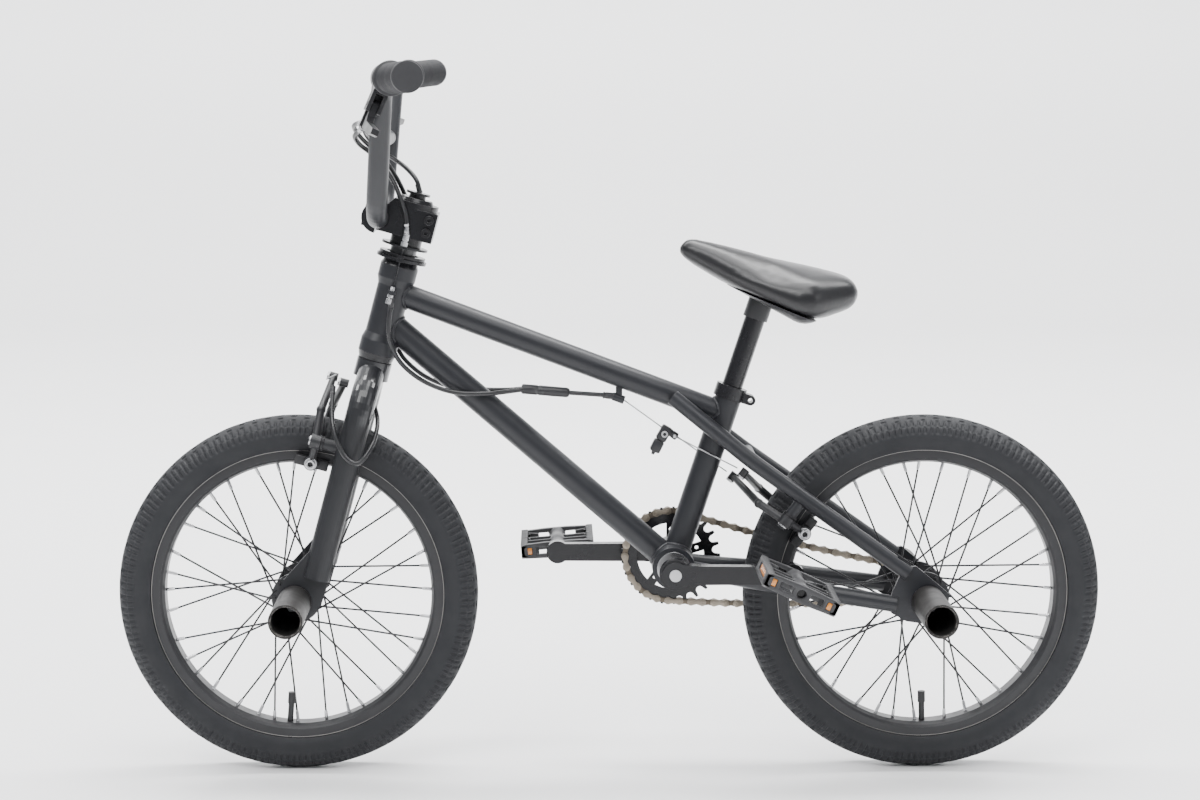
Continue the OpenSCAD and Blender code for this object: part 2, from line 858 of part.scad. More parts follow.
module fork_leg_path(d) {
    bent_rod([[0, -8, crown_h - 2], [0, -leg_top_y, crown_h - 24], [0, -leg_low_y - 1, 30]], 36, d,
        [1, 0, 0]);
}

module fork() {
    color(black) difference() {
        union() {
            on_steering() {
                translate([0, 0, crown_h - 8]) cylinder(h = stem_hi - crown_h + 6, d = steerer_d);
                translate([0, 0, crown_h - 8]) cylinder(h = 19.8, d = 38);
                both_sides() {
                    fork_leg_path(leg_d);
                    // boss and stud that carry the brake arm
                    translate([-29.6, -brake_stud[0], front_pad_h + brake_stud[1]])
                        rotate([0, 90, 0]) cylinder(h = 26.6, d = 13);
                    translate([front_pad_x - 9, -brake_stud[0], front_pad_h + brake_stud[1]])
                        rotate([0, 90, 0]) cylinder(h = 19, d = 7.9);
                }
            }
            both_sides() fork_dropout();
        }
        on_steering() {
            translate([0, 0, crown_h - 20]) cylinder(h = 240, d = steerer_id);
            both_sides() rod([0, -leg_top_y - 0.9, crown_h - 50], [0, -leg_low_y - 1, 29], leg_id);
        }
    }
}

module fork_dropout() {
    translate([0, -leg_low_y, 0]) rotate([90, 0, 0]) linear_extrude(drop_t) difference() {
        union() {
            polygon([
                [-316, 262], [-323, 250], [-351, 219], [-358, 204], [-357, 189],
                [-349, 179], [-338, 175], [-326, 178], [-311, 191], [-306, 208], [-297, 235]
            ]);
        }
        translate([front_x, hub_z]) circle(d = axle_d + 0.6);
        translate([front_x - axle_d / 2 - 0.3, hub_z - 40]) square([axle_d + 0.6, 40]);
    }
}

module stem() {
    color(black) on_steering() difference() {
        union() {
            translate([0, 0, stem_lo]) cylinder(h = stem_hi - stem_lo, r = stem_half_w);
            translate([clamp_x + 0.5, -stem_half_w, stem_lo])
                cube([-clamp_x, 2 * stem_half_w, stem_hi - stem_lo]);
            translate([0, -stem_half_w, stem_lo]) cube([27, 2 * stem_half_w, stem_hi - stem_lo - 6]);
        }
        translate([0, 0, stem_lo - 1]) cylinder(h = stem_hi - stem_lo + 2, d = steerer_d);
        translate([clamp_x, -50, clamp_h]) rotate([-90, 0, 0]) cylinder(h = 100, d = bar_d);
        translate([10, -1.5, stem_lo - 1]) cube([30, 3, 60]);
        translate([clamp_x - 8, -50, stem_hi - 8]) rotate([0, 35, 0]) cube([12, 100, 20]);
        for (h = [stem_lo + 10, stem_lo + 24]) translate([19, -30, h])
            rotate([-90, 0, 0]) cylinder(h = 60, d = 6.2);
    }
}

module stem_faceplate() {
    color(black) on_steering() difference() {
        union() {
            translate([clamp_x - 16, -stem_half_w, stem_lo + 1])
                cube([15.5, 2 * stem_half_w, 28]);
            translate([clamp_x - 1, 0, clamp_h]) rotate([90, 0, 0])
                cylinder(h = 2 * stem_half_w, d = 34, center = true);
        }
        translate([clamp_x, -50, clamp_h]) rotate([-90, 0, 0]) cylinder(h = 100, d = bar_d);
        translate([clamp_x - 0.5, -50, stem_lo - 10]) cube([60, 100, 60]);
        for (y = [-17, 17], h = [stem_lo + 5.5, stem_lo + 24.5])
            translate([clamp_x - 40, y, h]) rotate([0, 90, 0]) cylinder(h = 60, d = 5.2);
    }
}

module stem_bolts() {
    color(steel) on_steering() {
        for (h = [stem_lo + 10, stem_lo + 24]) {
            translate([19, -24, h]) rotate([-90, 0, 0]) cylinder(h = 48, d = 6.2);
            difference() {
                translate([19, -30.2, h]) rotate([-90, 0, 0]) cylinder(h = 5, d = 10);
                translate([19, -32, h]) rotate([-90, 0, 0]) cylinder(h = 5, d = 5, $fn = 6);
            }
        }
    }
}

module stem_top_bolt() {
    color(black) on_steering() difference() {
        union() {
            translate([0, 0, stem_hi + 0.05]) cylinder(h = 4, d1 = 38, d2 = 34);
            translate([0, 0, stem_hi + 4]) cylinder(h = 5, d = 18);
            translate([0, 0, stem_hi + 8]) cylinder(h = 2.5, d = 26);
            translate([0, 0, stem_hi - 22]) cylinder(h = 26, d = steerer_id);
        }
        translate([0, 0, stem_hi - 30]) cylinder(h = 50, d = cable_d + 1);
    }
}

clamp_centre = at_head(clamp_x, 0, clamp_h);
bar_flat = [clamp_centre[0], bar_flat_y, clamp_centre[2]];
bar_dir = unit(bar_end - bar_corner);
bar_tip = bar_end - 2 * bar_dir;
bar_points = [flip(bar_tip), flip(bar_corner), flip(bar_flat), bar_flat, bar_corner, bar_tip];
cross_t = (cross_z - bar_flat[2]) / (bar_corner[2] - bar_flat[2]);
cross_end = bar_flat + cross_t * (bar_corner - bar_flat);

module handlebar() {
    color(matte) {
        bent_tube(bar_points, bar_bend_r, bar_d, bar_d - 2 * bar_wall, [1, 0, 0.2]);
        rod(flip(cross_end), cross_end, 16);
    }
}

grip_in = bar_end - (grip_len - 2) * bar_dir;
module grips() {
    color(rubber) both_sides() difference() {
        union() {
            rod(grip_in, bar_end + 0.1 * bar_dir, grip_d);
            rod(grip_in, grip_in + 4 * bar_dir, grip_d + 6);
            for (i = [1 : 14]) let(c = grip_in + (8 * i) * bar_dir)
                rod(c, c + 4 * bar_dir, grip_d + 1.2);
        }
        rod(grip_in - 5 * bar_dir, bar_end - 1.9 * bar_dir, bar_d);
    }
}

// Lever frame: origin on the bar's axis, X along the bar outwards, Z towards the lever
lever_at = 38;
lever_drop = 30;
lever_tilt = 24;
barrel_z = 52;
lever_len = 90;
lever_pivot_x = -14;
lever_org = bar_corner + lever_at * bar_dir;
lever_down = unit([-sin(lever_tilt), 0, -cos(lever_tilt)]
    - ([-sin(lever_tilt), 0, -cos(lever_tilt)] * bar_dir) * bar_dir);
lever_side = cross(lever_down, bar_dir);
module in_lever_frame() {
    multmatrix([
        [bar_dir[0], lever_side[0], lever_down[0], lever_org[0]],
        [bar_dir[1], lever_side[1], lever_down[1], lever_org[1]],
        [bar_dir[2], lever_side[2], lever_down[2], lever_org[2]],
        [0, 0, 0, 1]
    ]) children();
}

module lever_bracket() {
    in_lever_frame() difference() {
        union() {
            translate([-7, 0, 0]) rotate([0, 90, 0]) cylinder(h = 14, d = 32);
            translate([lever_pivot_x - 4, -8, 11]) cube([20, 16, 26]);
            translate([lever_pivot_x - 4, -6, 30]) cube([6, 12, barrel_z - 28]);
            translate([-34, 0, barrel_z]) rotate([0, 90, 0]) cylinder(h = 20, d = 9);
        }
        translate([-20, 0, 0]) rotate([0, 90, 0]) cylinder(h = 60, d = bar_d);
        translate([lever_pivot_x + 2, -4.2, 18]) cube([30, 8.4, 40]);
        translate([-40, 0, barrel_z]) rotate([0, 90, 0]) cylinder(h = 60, d = 3);
        translate([lever_pivot_x + 8, 10, lever_drop]) rotate([90, 0, 0]) cylinder(h = 20, d = 5);
    }
    // hinge pin of the lever
    in_lever_frame() translate([lever_pivot_x + 8, 8.5, lever_drop]) rotate([90, 0, 0])
        cylinder(h = 17, d = 5);
}

module lever_brackets() {
    color(black) both_sides() lever_bracket();
}

module brake_lever() {
    color(black) in_lever_frame() difference() {
        union() {
            translate([lever_pivot_x + 8, 3.8, lever_drop]) rotate([90, 0, 0])
                cylinder(h = 7.6, d = 10);
            translate([lever_pivot_x + 8, 0, lever_drop]) rotate([90, 0, 0])
                linear_extrude(7.6, center = true) polygon([
                    [5, 0], [8, 12], [18, 18], [lever_len - 12, 24], [lever_len, 25],
                    [lever_len + 2, 31], [lever_len - 14, 32], [16, 27], [0, 24], [-4, 18], [-5, 0]
                ]);
        }
        translate([lever_pivot_x + 8, 10, lever_drop]) rotate([90, 0, 0])
            cylinder(h = 20, d = 5.1);
    }
}

module brake_lever_right() brake_lever();
module brake_lever_left() mirror([0, 1, 0]) brake_lever();

// Upper plate of the cable rotor, fixed below the stem, with a stop on each side
module rotor_upper_plate() {
    color(black) on_steering() difference() {
        union() {
            translate([0, 0, plate_h]) cylinder(h = 2.5, d = 50);
            translate([0, 0, plate_h]) cylinder(h = stem_lo - plate_h, d = 34);
            translate([-5, -ring_y - 5, plate_h]) cube([10, 2 * ring_y + 10, 2.5]);
        }
        translate([0, 0, plate_h - 1]) cylinder(h = 20, d = steerer_d);
        for (s = [-1, 1]) translate([0, s * ring_y, plate_h - 1]) cylinder(h = 10, d = 3);
    }
}

module rotor_upper_cables() {
    color(black) {
        cord(rotor_cable_left, cable_d);
        cord(rotor_cable_right, cable_d);
    }
    color(steel) both_sides() on_steering() difference() {
        translate([0, -ring_y, plate_h + 2.5]) cylinder(h = 14, d = 6.5);
        translate([0, -ring_y, plate_h]) cylinder(h = 14, d = 2.6);
    }
}

// One ring of the sliding rotor, with the wires that it pulls
module rotor_ring(d, up) {
    wire_len = up > 0 ? 12 : 38;
    difference() {
        union() {
            cylinder(h = ring_t, d = d);
            for (s = [-1, 1]) translate([-4, s > 0 ? 18 : -ring_y - 4, 0]) cube([8, ring_y - 14, ring_t]);
        }
        translate([0, 0, -1]) cylinder(h = 10, d = 35);
    }
    for (s = [-1, 1]) translate([0, s * ring_y, up > 0 ? ring_t - 0.5 : 0.5 - wire_len])
        cylinder(h = wire_len, d = wire_d);
}

module rotor_upper_ring() {
    color(black) on_steering() translate([0, 0, ring_lo + ring_t + 0.4]) rotor_ring(50, 1);
}

module rotor_lower_ring() {
    color(black) on_steering() translate([0, 0, ring_lo]) rotor_ring(54, 0);
}

module front_brake_cable() {
    color(black) {
        cord(front_cable_upper, cable_d);
        rod(at_head(0, 0, stem_hi + 10), at_head(0, 0, crown_h - 10), cable_d, $fn = 24);
        cord(front_cable_lower, cable_d);
    }
    // bare wire from the stop on one arm to the clamp on the other
    color(steel) rod(front_brake_point(-front_tip[0] - 8, front_tip[1], 7),
        front_brake_point(front_tip[0] - 8, front_tip[1] + 3.8, 0), wire_d);
}

module front_axle() {
    color(steel) at_front_axle() disc(axle_d, 0, front_old + 2 * drop_t + 36);
}

module front_axle_nuts() {
    color(steel) at_front_axle() both_sides() difference() {
        union() {
            nut(15, -front_old / 2 - drop_t - 9, 9);
            disc(15, -(front_old / 2 + cone_y) / 2, front_old / 2 - cone_y);
        }
        disc(axle_d, 0, 200);
    }
}

module front_pegs() {
    color(peg_grey) at_front_axle() both_sides() peg(-front_old / 2 - drop_t);
}

// ---- brakes ----

// Brake frame: X lateral to the left arm's side, Y along the arms, Z away from the tube
module rear_brake_frame() {
    translate(rear_pad) rotate([0, rear_brake_tilt, 0])
        multmatrix([[0, -1, 0, 0], [1, 0, 0, 0], [0, 0, -1, 0], [0, 0, 0, 1]]) children();
}

module front_brake_frame() {
    on_steering() translate([front_pad_x, 0, front_pad_h])
        multmatrix([[0, 0, -1, 0], [1, 0, 0, 0], [0, 1, 0, 0], [0, 0, 0, 1]]) children();
}

function rear_brake_point(lat, along, out) = rear_pad + [
    -along * cos(rear_brake_tilt) - out * sin(rear_brake_tilt),
    lat,
    along * sin(rear_brake_tilt) - out * cos(rear_brake_tilt)
];
function front_brake_point(lat, along, out) = at_head(front_pad_x - out, lat, front_pad_h + along);

// Arm whose pad is on the negative side; over tells on which side of its twin it crosses
module brake_arm(over, arm_tip) {
    knee = [-brake_knee[0], brake_knee[1], over * 4];
    tip = [arm_tip[0], arm_tip[1], over * brake_cross_n + brake_bias_n];
    stud = [-brake_stud[0], brake_stud[1], 0];
    color(black) difference() {
        union() {
            translate(stud + [0, 0, -5]) cylinder(h = 11, d = 16);
            rod(stud, [-36, 0, 0], 8.4);
            translate([-36, 0, 0]) rotate([0, 90, 0]) cylinder(h = 8, d = 15, center = true);
            rod(stud + [0, 0, over], knee, 9.2);
            translate(knee) sphere(d = 10.4);
            rod(knee, tip, 8.8, 7.2);
            translate(tip + [0, 0, -4.5]) cylinder(h = 9, d = 9);
        }
        translate(stud + [0, 0, -10]) cylinder(h = 30, d = 8.08);
    }
    // pad, its backing stud and nut
    color(rubber) translate([-pad_face - 5, -1.2, 0]) cube([10, 10, 36], center = true);
    color(steel) rod([-pad_face - 9.9, 0, 0], [-42, 0, 0], 6);
}

module front_brake_arm_left() front_brake_frame() brake_arm(1, front_tip);
module front_brake_arm_right() mirror([0, 1, 0]) front_brake_frame() brake_arm(-1, front_tip);
module rear_brake_arm_left() rear_brake_frame() brake_arm(1, rear_tip);
module rear_brake_arm_right() mirror([0, 1, 0]) rear_brake_frame() brake_arm(-1, rear_tip);

// ---- seat ----

post_top = 291;
module seat_post() {
    color(black) on_seat_tube() difference() {
        translate([0, 0, 96]) cylinder(h = post_top - 96, d = seat_post_d);
        translate([0, 0, 90]) cylinder(h = post_top - 96, d = seat_post_d - 4);
    }
}

// Padded outer shape of the saddle
module saddle_form() {
    rear_y = saddle_w / 2 - 25;
    hull() {
        translate([84, 0, 569]) sphere(r = 13, $fn = 32);
        translate([126, 0, 552]) sphere(r = 19, $fn = 32);
        for (s = [-1, 1]) translate([172, s * 14, 535]) sphere(r = 24, $fn = 32);
        for (s = [-1, 1]) translate([205, s * rear_y, 519]) sphere(r = 26, $fn = 32);
        for (s = [-1, 1]) translate([246, s * 18, 523]) sphere(r = 19, $fn = 32);
    }
}

// Slab under the padding, lo to hi measured from the plane where the cover is stapled
module saddle_slab(lo, hi) {
    translate([80, 0, 549]) rotate([0, 21, 0]) translate([-50, -100, lo]) cube([300, 200, hi - lo]);
}

module saddle_base() {
    color(black) difference() {
        union() {
            intersection() {
                saddle_form();
                saddle_slab(-12, -0.5);
            }
            on_seat_tube() translate([0, 0, post_top - 9]) cylinder(h = 36, d = 27);
        }
        on_seat_tube() cylinder(h = post_top, d = seat_post_d);
        saddle_slab(-0.5, 80);
    }
}

module saddle_cover() {
    color(black) intersection() {
        saddle_form();
        saddle_slab(0, 100);
    }
}

head_tube();
top_tube();
down_tube();
seat_tube();
bottom_bracket_shell();
chainstays();
seatstays();
seat_clamp();
headset_cups();
headset_bearings();
bottom_bracket_bearings();
rear_brake_cable();
rear_brake_hanger();
rear_axle();
rear_axle_nuts();
rear_pegs();
chain();
rotor_lower_ring();
rear_brake_arm_left();
rear_brake_arm_right();
rear_tyre();
rear_inner_tube();
rear_rim();
rear_spokes();
rear_hub();
rear_hub_bearings();
driver_sprocket();
fork();
stem();
stem_faceplate();
stem_bolts();
stem_top_bolt();
handlebar();
grips();
lever_brackets();
rotor_upper_plate();
rotor_upper_cables();
front_brake_cable();
front_axle();
front_axle_nuts();
front_pegs();
rotor_upper_ring();
brake_lever_left();
brake_lever_right();
front_brake_arm_left();
front_brake_arm_right();
front_tyre();
front_inner_tube();
front_rim();
front_spokes();
front_hub();
front_hub_bearings();
crank_spindle();
crank_arms();
chainring();
pedal_left();
pedal_right();
seat_post();
saddle_base();
saddle_cover();
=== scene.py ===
"""Looks of a child's freestyle bicycle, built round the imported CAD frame."""
import math

import bmesh
import bpy
import numpy as np
from mathutils import Matrix, Vector


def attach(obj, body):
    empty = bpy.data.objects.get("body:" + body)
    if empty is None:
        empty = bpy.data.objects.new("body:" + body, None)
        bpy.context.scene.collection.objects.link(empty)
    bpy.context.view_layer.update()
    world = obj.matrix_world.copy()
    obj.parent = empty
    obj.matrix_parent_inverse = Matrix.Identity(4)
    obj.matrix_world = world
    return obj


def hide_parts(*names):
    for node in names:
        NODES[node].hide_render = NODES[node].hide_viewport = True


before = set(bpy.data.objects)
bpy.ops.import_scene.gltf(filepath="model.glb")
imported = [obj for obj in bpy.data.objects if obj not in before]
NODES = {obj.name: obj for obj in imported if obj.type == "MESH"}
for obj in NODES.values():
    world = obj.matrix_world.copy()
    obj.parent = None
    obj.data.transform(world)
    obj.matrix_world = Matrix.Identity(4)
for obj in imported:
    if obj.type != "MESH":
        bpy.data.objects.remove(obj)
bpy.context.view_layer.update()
MM = 0.001


# ---------------------------------------------------------------- camera and studio
def set_camera():
    yaw, pitch, roll = (math.radians(a) for a in (1.15, 7.56, 0.14))
    f = Vector((math.sin(yaw) * math.cos(pitch), math.cos(yaw) * math.cos(pitch), -math.sin(pitch)))
    right = Vector((math.cos(yaw), -math.sin(yaw), 0))
    up = right.cross(f)
    r = right * math.cos(roll) + up * math.sin(roll)
    u = r.cross(f)
    data = bpy.data.cameras.new("photo_camera")
    data.lens, data.sensor_width = 78, 36
    data.clip_start, data.clip_end = 0.1, 60
    cam = bpy.data.objects.new("photo_camera", data)
    bpy.context.scene.collection.objects.link(cam)
    rot = Matrix((r, u, -f)).transposed().to_4x4()
    cam.matrix_world = Matrix.Translation(Vector((-0.068, -2.789, 0.776))) @ rot
    bpy.context.scene.camera = cam


def area(name, loc, target, size, energy, color=(1, 1, 1)):
    data = bpy.data.lights.new(name, "AREA")
    data.shape = "RECTANGLE"
    data.size, data.size_y = size
    data.energy, data.color = energy, color
    o = bpy.data.objects.new(name, data)
    o.location = loc
    o.rotation_euler = (Vector(target) - Vector(loc)).to_track_quat("-Z", "Y").to_euler()
    bpy.context.scene.collection.objects.link(o)


# ---------------------------------------------------------------- materials
def nodes_of(name):
    m = bpy.data.materials.new(name)
    m.use_nodes = True
    t = m.node_tree
    return m, t, t.nodes["Principled BSDF"]


def ramp_between(t, fac, lo, hi, a, b):
    r = t.nodes.new("ShaderNodeMapRange")
    r.inputs["From Min"].default_value, r.inputs["From Max"].default_value = lo, hi
    r.inputs["To Min"].default_value, r.inputs["To Max"].default_value = a, b
    t.links.new(fac, r.inputs["Value"])
    return r.outputs["Result"]


def noise(t, coord, scale, detail=4.0, rough=0.55):
    n = t.nodes.new("ShaderNodeTexNoise")
    n.inputs["Scale"].default_value = scale
    n.inputs["Detail"].default_value = detail
    n.inputs["Roughness"].default_value = rough
    t.links.new(coord, n.inputs["Vector"])
    return n.outputs["Fac"]


def mix(t, fac, a, b):
    m = t.nodes.new("ShaderNodeMix")
    m.data_type = "RGBA"
    for sock, v in ((m.inputs["Factor"], fac), (m.inputs["A"], a), (m.inputs["B"], b)):
        if isinstance(v, (int, float)):
            sock.default_value = v
        elif isinstance(v, tuple):
            sock.default_value = (*v, 1)
        else:
            t.links.new(v, sock)
    return m.outputs["Result"]


def material(name, dark, light, rough=(0.35, 0.5), metal=0.0, grain=900.0, bump=0.15, depth=0.0002,
             edge=None, edge_amount=0.5, round_mm=0.6, coat=0.0, dust=0.0, stretch=None, spec=0.5,
             split=0.0):
    """Two tones broken up at two scales, rough patches, fine bump, worn rounded edges and dust."""
    m, t, p = nodes_of(name)
    tc = t.nodes.new("ShaderNodeTexCoord")
    coord = tc.outputs["Object"]
    if stretch:
        mp = t.nodes.new("ShaderNodeMapping")
        mp.inputs["Scale"].default_value = stretch
        t.links.new(coord, mp.inputs["Vector"])
        coord = mp.outputs["Vector"]
    big = noise(t, coord, 14.0, 5.0)
    fine = noise(t, coord, grain, 3.0)
    tone = t.nodes.new("ShaderNodeMath")
    tone.operation = "MULTIPLY_ADD"
    t.links.new(fine, tone.inputs[0])
    tone.inputs[1].default_value = 0.5
    t.links.new(ramp_between(t, big, 0.3, 0.7, 0.0, 0.5), tone.inputs[2])
    color = mix(t, tone.outputs[0], dark, light)
    geo = t.nodes.new("ShaderNodeNewGeometry")
    bev = None
    if round_mm:
        bev = t.nodes.new("ShaderNodeBevel")
        bev.samples = 6
        bev.inputs["Radius"].default_value = round_mm * MM
    if edge and bev:
        # a corner is where the rounded normal leaves the true one
        dot = t.nodes.new("ShaderNodeVectorMath")
        dot.operation = "DOT_PRODUCT"
        t.links.new(bev.outputs["Normal"], dot.inputs[0])
        t.links.new(geo.outputs["True Normal"], dot.inputs[1])
        worn = ramp_between(t, dot.outputs["Value"], 0.985, 0.86, 0.0, edge_amount)
        broken = t.nodes.new("ShaderNodeMath")
        broken.operation = "MULTIPLY"
        t.links.new(worn, broken.inputs[0])
        t.links.new(ramp_between(t, noise(t, coord, 190.0, 4.0), 0.45, 0.62, 0.05, 1.0), broken.inputs[1])
        color = mix(t, broken.outputs[0], color, edge)
    if dust:
        sep = t.nodes.new("ShaderNodeSeparateXYZ")
        t.links.new(geo.outputs["Normal"], sep.inputs[0])
        up = ramp_between(t, sep.outputs["Z"], 0.2, 1.0, 0.0, dust)
        d = t.nodes.new("ShaderNodeMath")
        d.operation = "MULTIPLY"
        t.links.new(up, d.inputs[0])
        t.links.new(ramp_between(t, noise(t, coord, 60.0, 6.0), 0.3, 0.7, 0.2, 1.0), d.inputs[1])
        color = mix(t, d.outputs[0], color, (0.34, 0.34, 0.35))
    t.links.new(color, p.inputs["Base Color"])
    patch = noise(t, coord, 38.0, 6.0, 0.6)
    t.links.new(ramp_between(t, patch, 0.3, 0.7, *rough), p.inputs["Roughness"])
    p.inputs["Metallic"].default_value = metal
    p.inputs["Specular IOR Level"].default_value = spec
    if coat:
        p.inputs["Coat Weight"].default_value = coat
        p.inputs["Coat Roughness"].default_value = 0.12
    b = t.nodes.new("ShaderNodeBump")
    b.inputs["Strength"].default_value = bump
    b.inputs["Distance"].default_value = depth
    t.links.new(fine, b.inputs["Height"])
    if bev:
        t.links.new(bev.outputs["Normal"], b.inputs["Normal"])
    if split:
        # matte paint below the line, clear coat above it, with a soft ragged border
        sep = t.nodes.new("ShaderNodeSeparateXYZ")
        t.links.new(tc.outputs["Object"], sep.inputs[0])
        wob = t.nodes.new("ShaderNodeMath")
        wob.operation = "MULTIPLY_ADD"
        t.links.new(noise(t, tc.outputs["Object"], 30.0), wob.inputs[0])
        wob.inputs[1].default_value = 0.006
        t.links.new(sep.outputs["Z"], wob.inputs[2])
        up = ramp_between(t, wob.outputs[0], split, split + 0.006, 0.0, 1.0)
        gl = t.nodes.new("ShaderNodeMath")
        gl.operation = "MULTIPLY_ADD"
        t.links.new(up, gl.inputs[0])
        gl.inputs[1].default_value = -0.16
        t.links.new(ramp_between(t, patch, 0.3, 0.7, *rough), gl.inputs[2])
        t.links.new(gl.outputs[0], p.inputs["Roughness"])
        t.links.new(ramp_between(t, up, 0.0, 1.0, 0.0, 0.45), p.inputs["Coat Weight"])
    t.links.new(b.outputs["Normal"], p.inputs["Normal"])
    return m


PAINT = material("frame_paint", (0.009, 0.0094, 0.012), (0.014, 0.0148, 0.018), (0.35, 0.44), 0, 1600, 0.10,
                 0.00012, edge=(0.09, 0.09, 0.10), edge_amount=0.35, dust=0.035, round_mm=0.8, spec=0.38)
GLOSS = material("gloss_black", (0.005, 0.005, 0.006), (0.009, 0.009, 0.011), (0.22, 0.30), 0, 700, 0.05,
                 0.00015, edge=(0.10, 0.10, 0.10), edge_amount=0.3, coat=0.12, dust=0.015, round_mm=1.0,
                 spec=0.28)
FORK = material("fork_paint", (0.008, 0.0085, 0.010), (0.013, 0.0135, 0.016), (0.44, 0.47), 0, 1200, 0.06,
                0.00012, edge=(0.10, 0.10, 0.10), edge_amount=0.3, dust=0.02, round_mm=0,
                split=0.385, spec=0.38)
SATIN = material("satin_black_alloy", (0.010, 0.010, 0.012), (0.016, 0.016, 0.018), (0.34, 0.46), 0.1, 1100,
                 0.10, 0.00012, edge=(0.20, 0.20, 0.20), edge_amount=0.45, dust=0.03, round_mm=0.7)
BAR = material("bar_paint", (0.013, 0.0135, 0.016), (0.020, 0.021, 0.024), (0.34, 0.44), 0, 1400, 0.10,
               0.00012, dust=0.03, round_mm=0.6, edge=(0.12, 0.12, 0.12), edge_amount=0.2)
STEEL = material("bright_steel", (0.40, 0.40, 0.41), (0.55, 0.55, 0.56), (0.2, 0.38), 1.0, 900, 0.15,
                 0.0001, edge=(0.8, 0.8, 0.8), edge_amount=0.5, round_mm=0.4)
BOLT = material("bolt_black", (0.010, 0.010, 0.011), (0.022, 0.022, 0.024), (0.28, 0.42), 0.6, 1200, 0.1,
                0.0001, edge=(0.25, 0.25, 0.25), edge_amount=0.6, round_mm=0.5)
WIRE = material("spoke_black", (0.010, 0.010, 0.012), (0.024, 0.024, 0.026), (0.3, 0.45), 0.5, 1600, 0.08,
                0.0001, round_mm=0)
SILVER = material("bare_wire", (0.30, 0.30, 0.31), (0.50, 0.50, 0.51), (0.22, 0.38), 1.0, 3000, 0.2, 0.00005,
                  round_mm=0)
TYRE = material("tyre_rubber", (0.010, 0.0105, 0.0125), (0.016, 0.0168, 0.0195), (0.60, 0.76), 0, 2200, 0.25,
                0.00018, edge=(0.05, 0.051, 0.054), edge_amount=0.5, round_mm=0.3, dust=0.035, spec=0.35)
TUBE = material("tube_rubber", (0.010, 0.010, 0.011), (0.02, 0.02, 0.022), (0.45, 0.6), 0, 1500, 0.2, 0.0002)
PEG = material("peg_steel", (0.014, 0.013, 0.0125), (0.025, 0.0235, 0.0225), (0.46, 0.60), 0.25, 1300, 0.2,
               0.00015, edge=(0.34, 0.32, 0.30), edge_amount=0.7, dust=0.03, round_mm=0.9, spec=0.35)
CHAIN = material("chain_nickel", (0.17, 0.145, 0.115), (0.33, 0.29, 0.235), (0.32, 0.5), 0.8, 1200, 0.3,
                 0.0002, edge=(0.55, 0.50, 0.43), edge_amount=0.6, round_mm=0.3)
# same nickel as the outer plates, only darker: painted shade for the inner plates recessed between the outer
# ones
CHAIN_PAINTED_SHADE = material("chain_inner_painted_shade", (0.075, 0.062, 0.048), (0.16, 0.135, 0.105), (0.34, 0.52), 0.8, 1200, 0.3,
                0.0002, edge=(0.40, 0.36, 0.30), edge_amount=0.6, round_mm=0.3)
GRIP = material("grip_rubber", (0.013, 0.013, 0.015), (0.022, 0.022, 0.025), (0.58, 0.74), 0, 1800, 0.3,
                0.0002, edge=(0.06, 0.06, 0.06), edge_amount=0.4, round_mm=0.4, dust=0.04)
HOUSING = material("cable_housing", (0.007, 0.007, 0.008), (0.013, 0.013, 0.015), (0.22, 0.36), 0, 1200, 0.08,
                   0.0001, round_mm=0)
PLASTIC = material("pedal_plastic", (0.018, 0.018, 0.020), (0.032, 0.032, 0.034), (0.42, 0.58), 0, 1100, 0.3,
                   0.00025, edge=(0.11, 0.11, 0.11), edge_amount=0.6, dust=0.08, round_mm=0.7)
AMBER = material("reflector_amber", (0.42, 0.13, 0.012), (0.62, 0.22, 0.02), (0.08, 0.18), 0, 900, 0.4,
                 0.0003, coat=0.8, round_mm=0.3)
SHELL = material("saddle_shell", (0.008, 0.008, 0.009), (0.015, 0.015, 0.017), (0.35, 0.5), 0, 900, 0.15,
                 0.0002, edge=(0.05, 0.05, 0.05), edge_amount=0.3)

LOOKS = {
    PAINT: ["head_tube", "top_tube", "down_tube", "seat_tube", "bottom_bracket_shell", "chainstays",
            "seatstays"],
    FORK: ["fork"],
    GLOSS: ["seat_clamp", "headset_cups", "stem", "stem_faceplate", "stem_top_bolt", "chainring",
            "crank_arms", "rotor_upper_plate", "rotor_upper_ring", "rotor_lower_ring", "seat_post"],
    SATIN: ["lever_brackets", "brake_lever_left", "brake_lever_right", "front_brake_arm_left",
            "front_brake_arm_right", "rear_brake_arm_left", "rear_brake_arm_right", "front_rim",
            "rear_rim", "front_hub", "rear_hub"],
    BAR: ["handlebar"],
    BOLT: ["stem_bolts"],
    STEEL: ["headset_bearings", "bottom_bracket_bearings", "front_hub_bearings", "rear_hub_bearings",
            "rear_axle", "front_axle", "rear_axle_nuts", "front_axle_nuts",
            "crank_spindle", "driver_sprocket"],
    WIRE: ["front_spokes", "rear_spokes"],
    TYRE: ["front_tyre", "rear_tyre"],
    TUBE: ["front_inner_tube", "rear_inner_tube"],
    PEG: ["front_pegs", "rear_pegs"],
    CHAIN: ["chain"],
    GRIP: ["grips"],
    HOUSING: ["rear_brake_cable", "front_brake_cable", "rotor_upper_cables", "rear_brake_hanger"],
    PLASTIC: ["pedal_left", "pedal_right"],
    SHELL: ["saddle_base"],
}


def dress_nodes():
    for mat, names in LOOKS.items():
        for n in names:
            o = NODES[n]
            o.data.materials.clear()
            o.data.materials.append(mat)


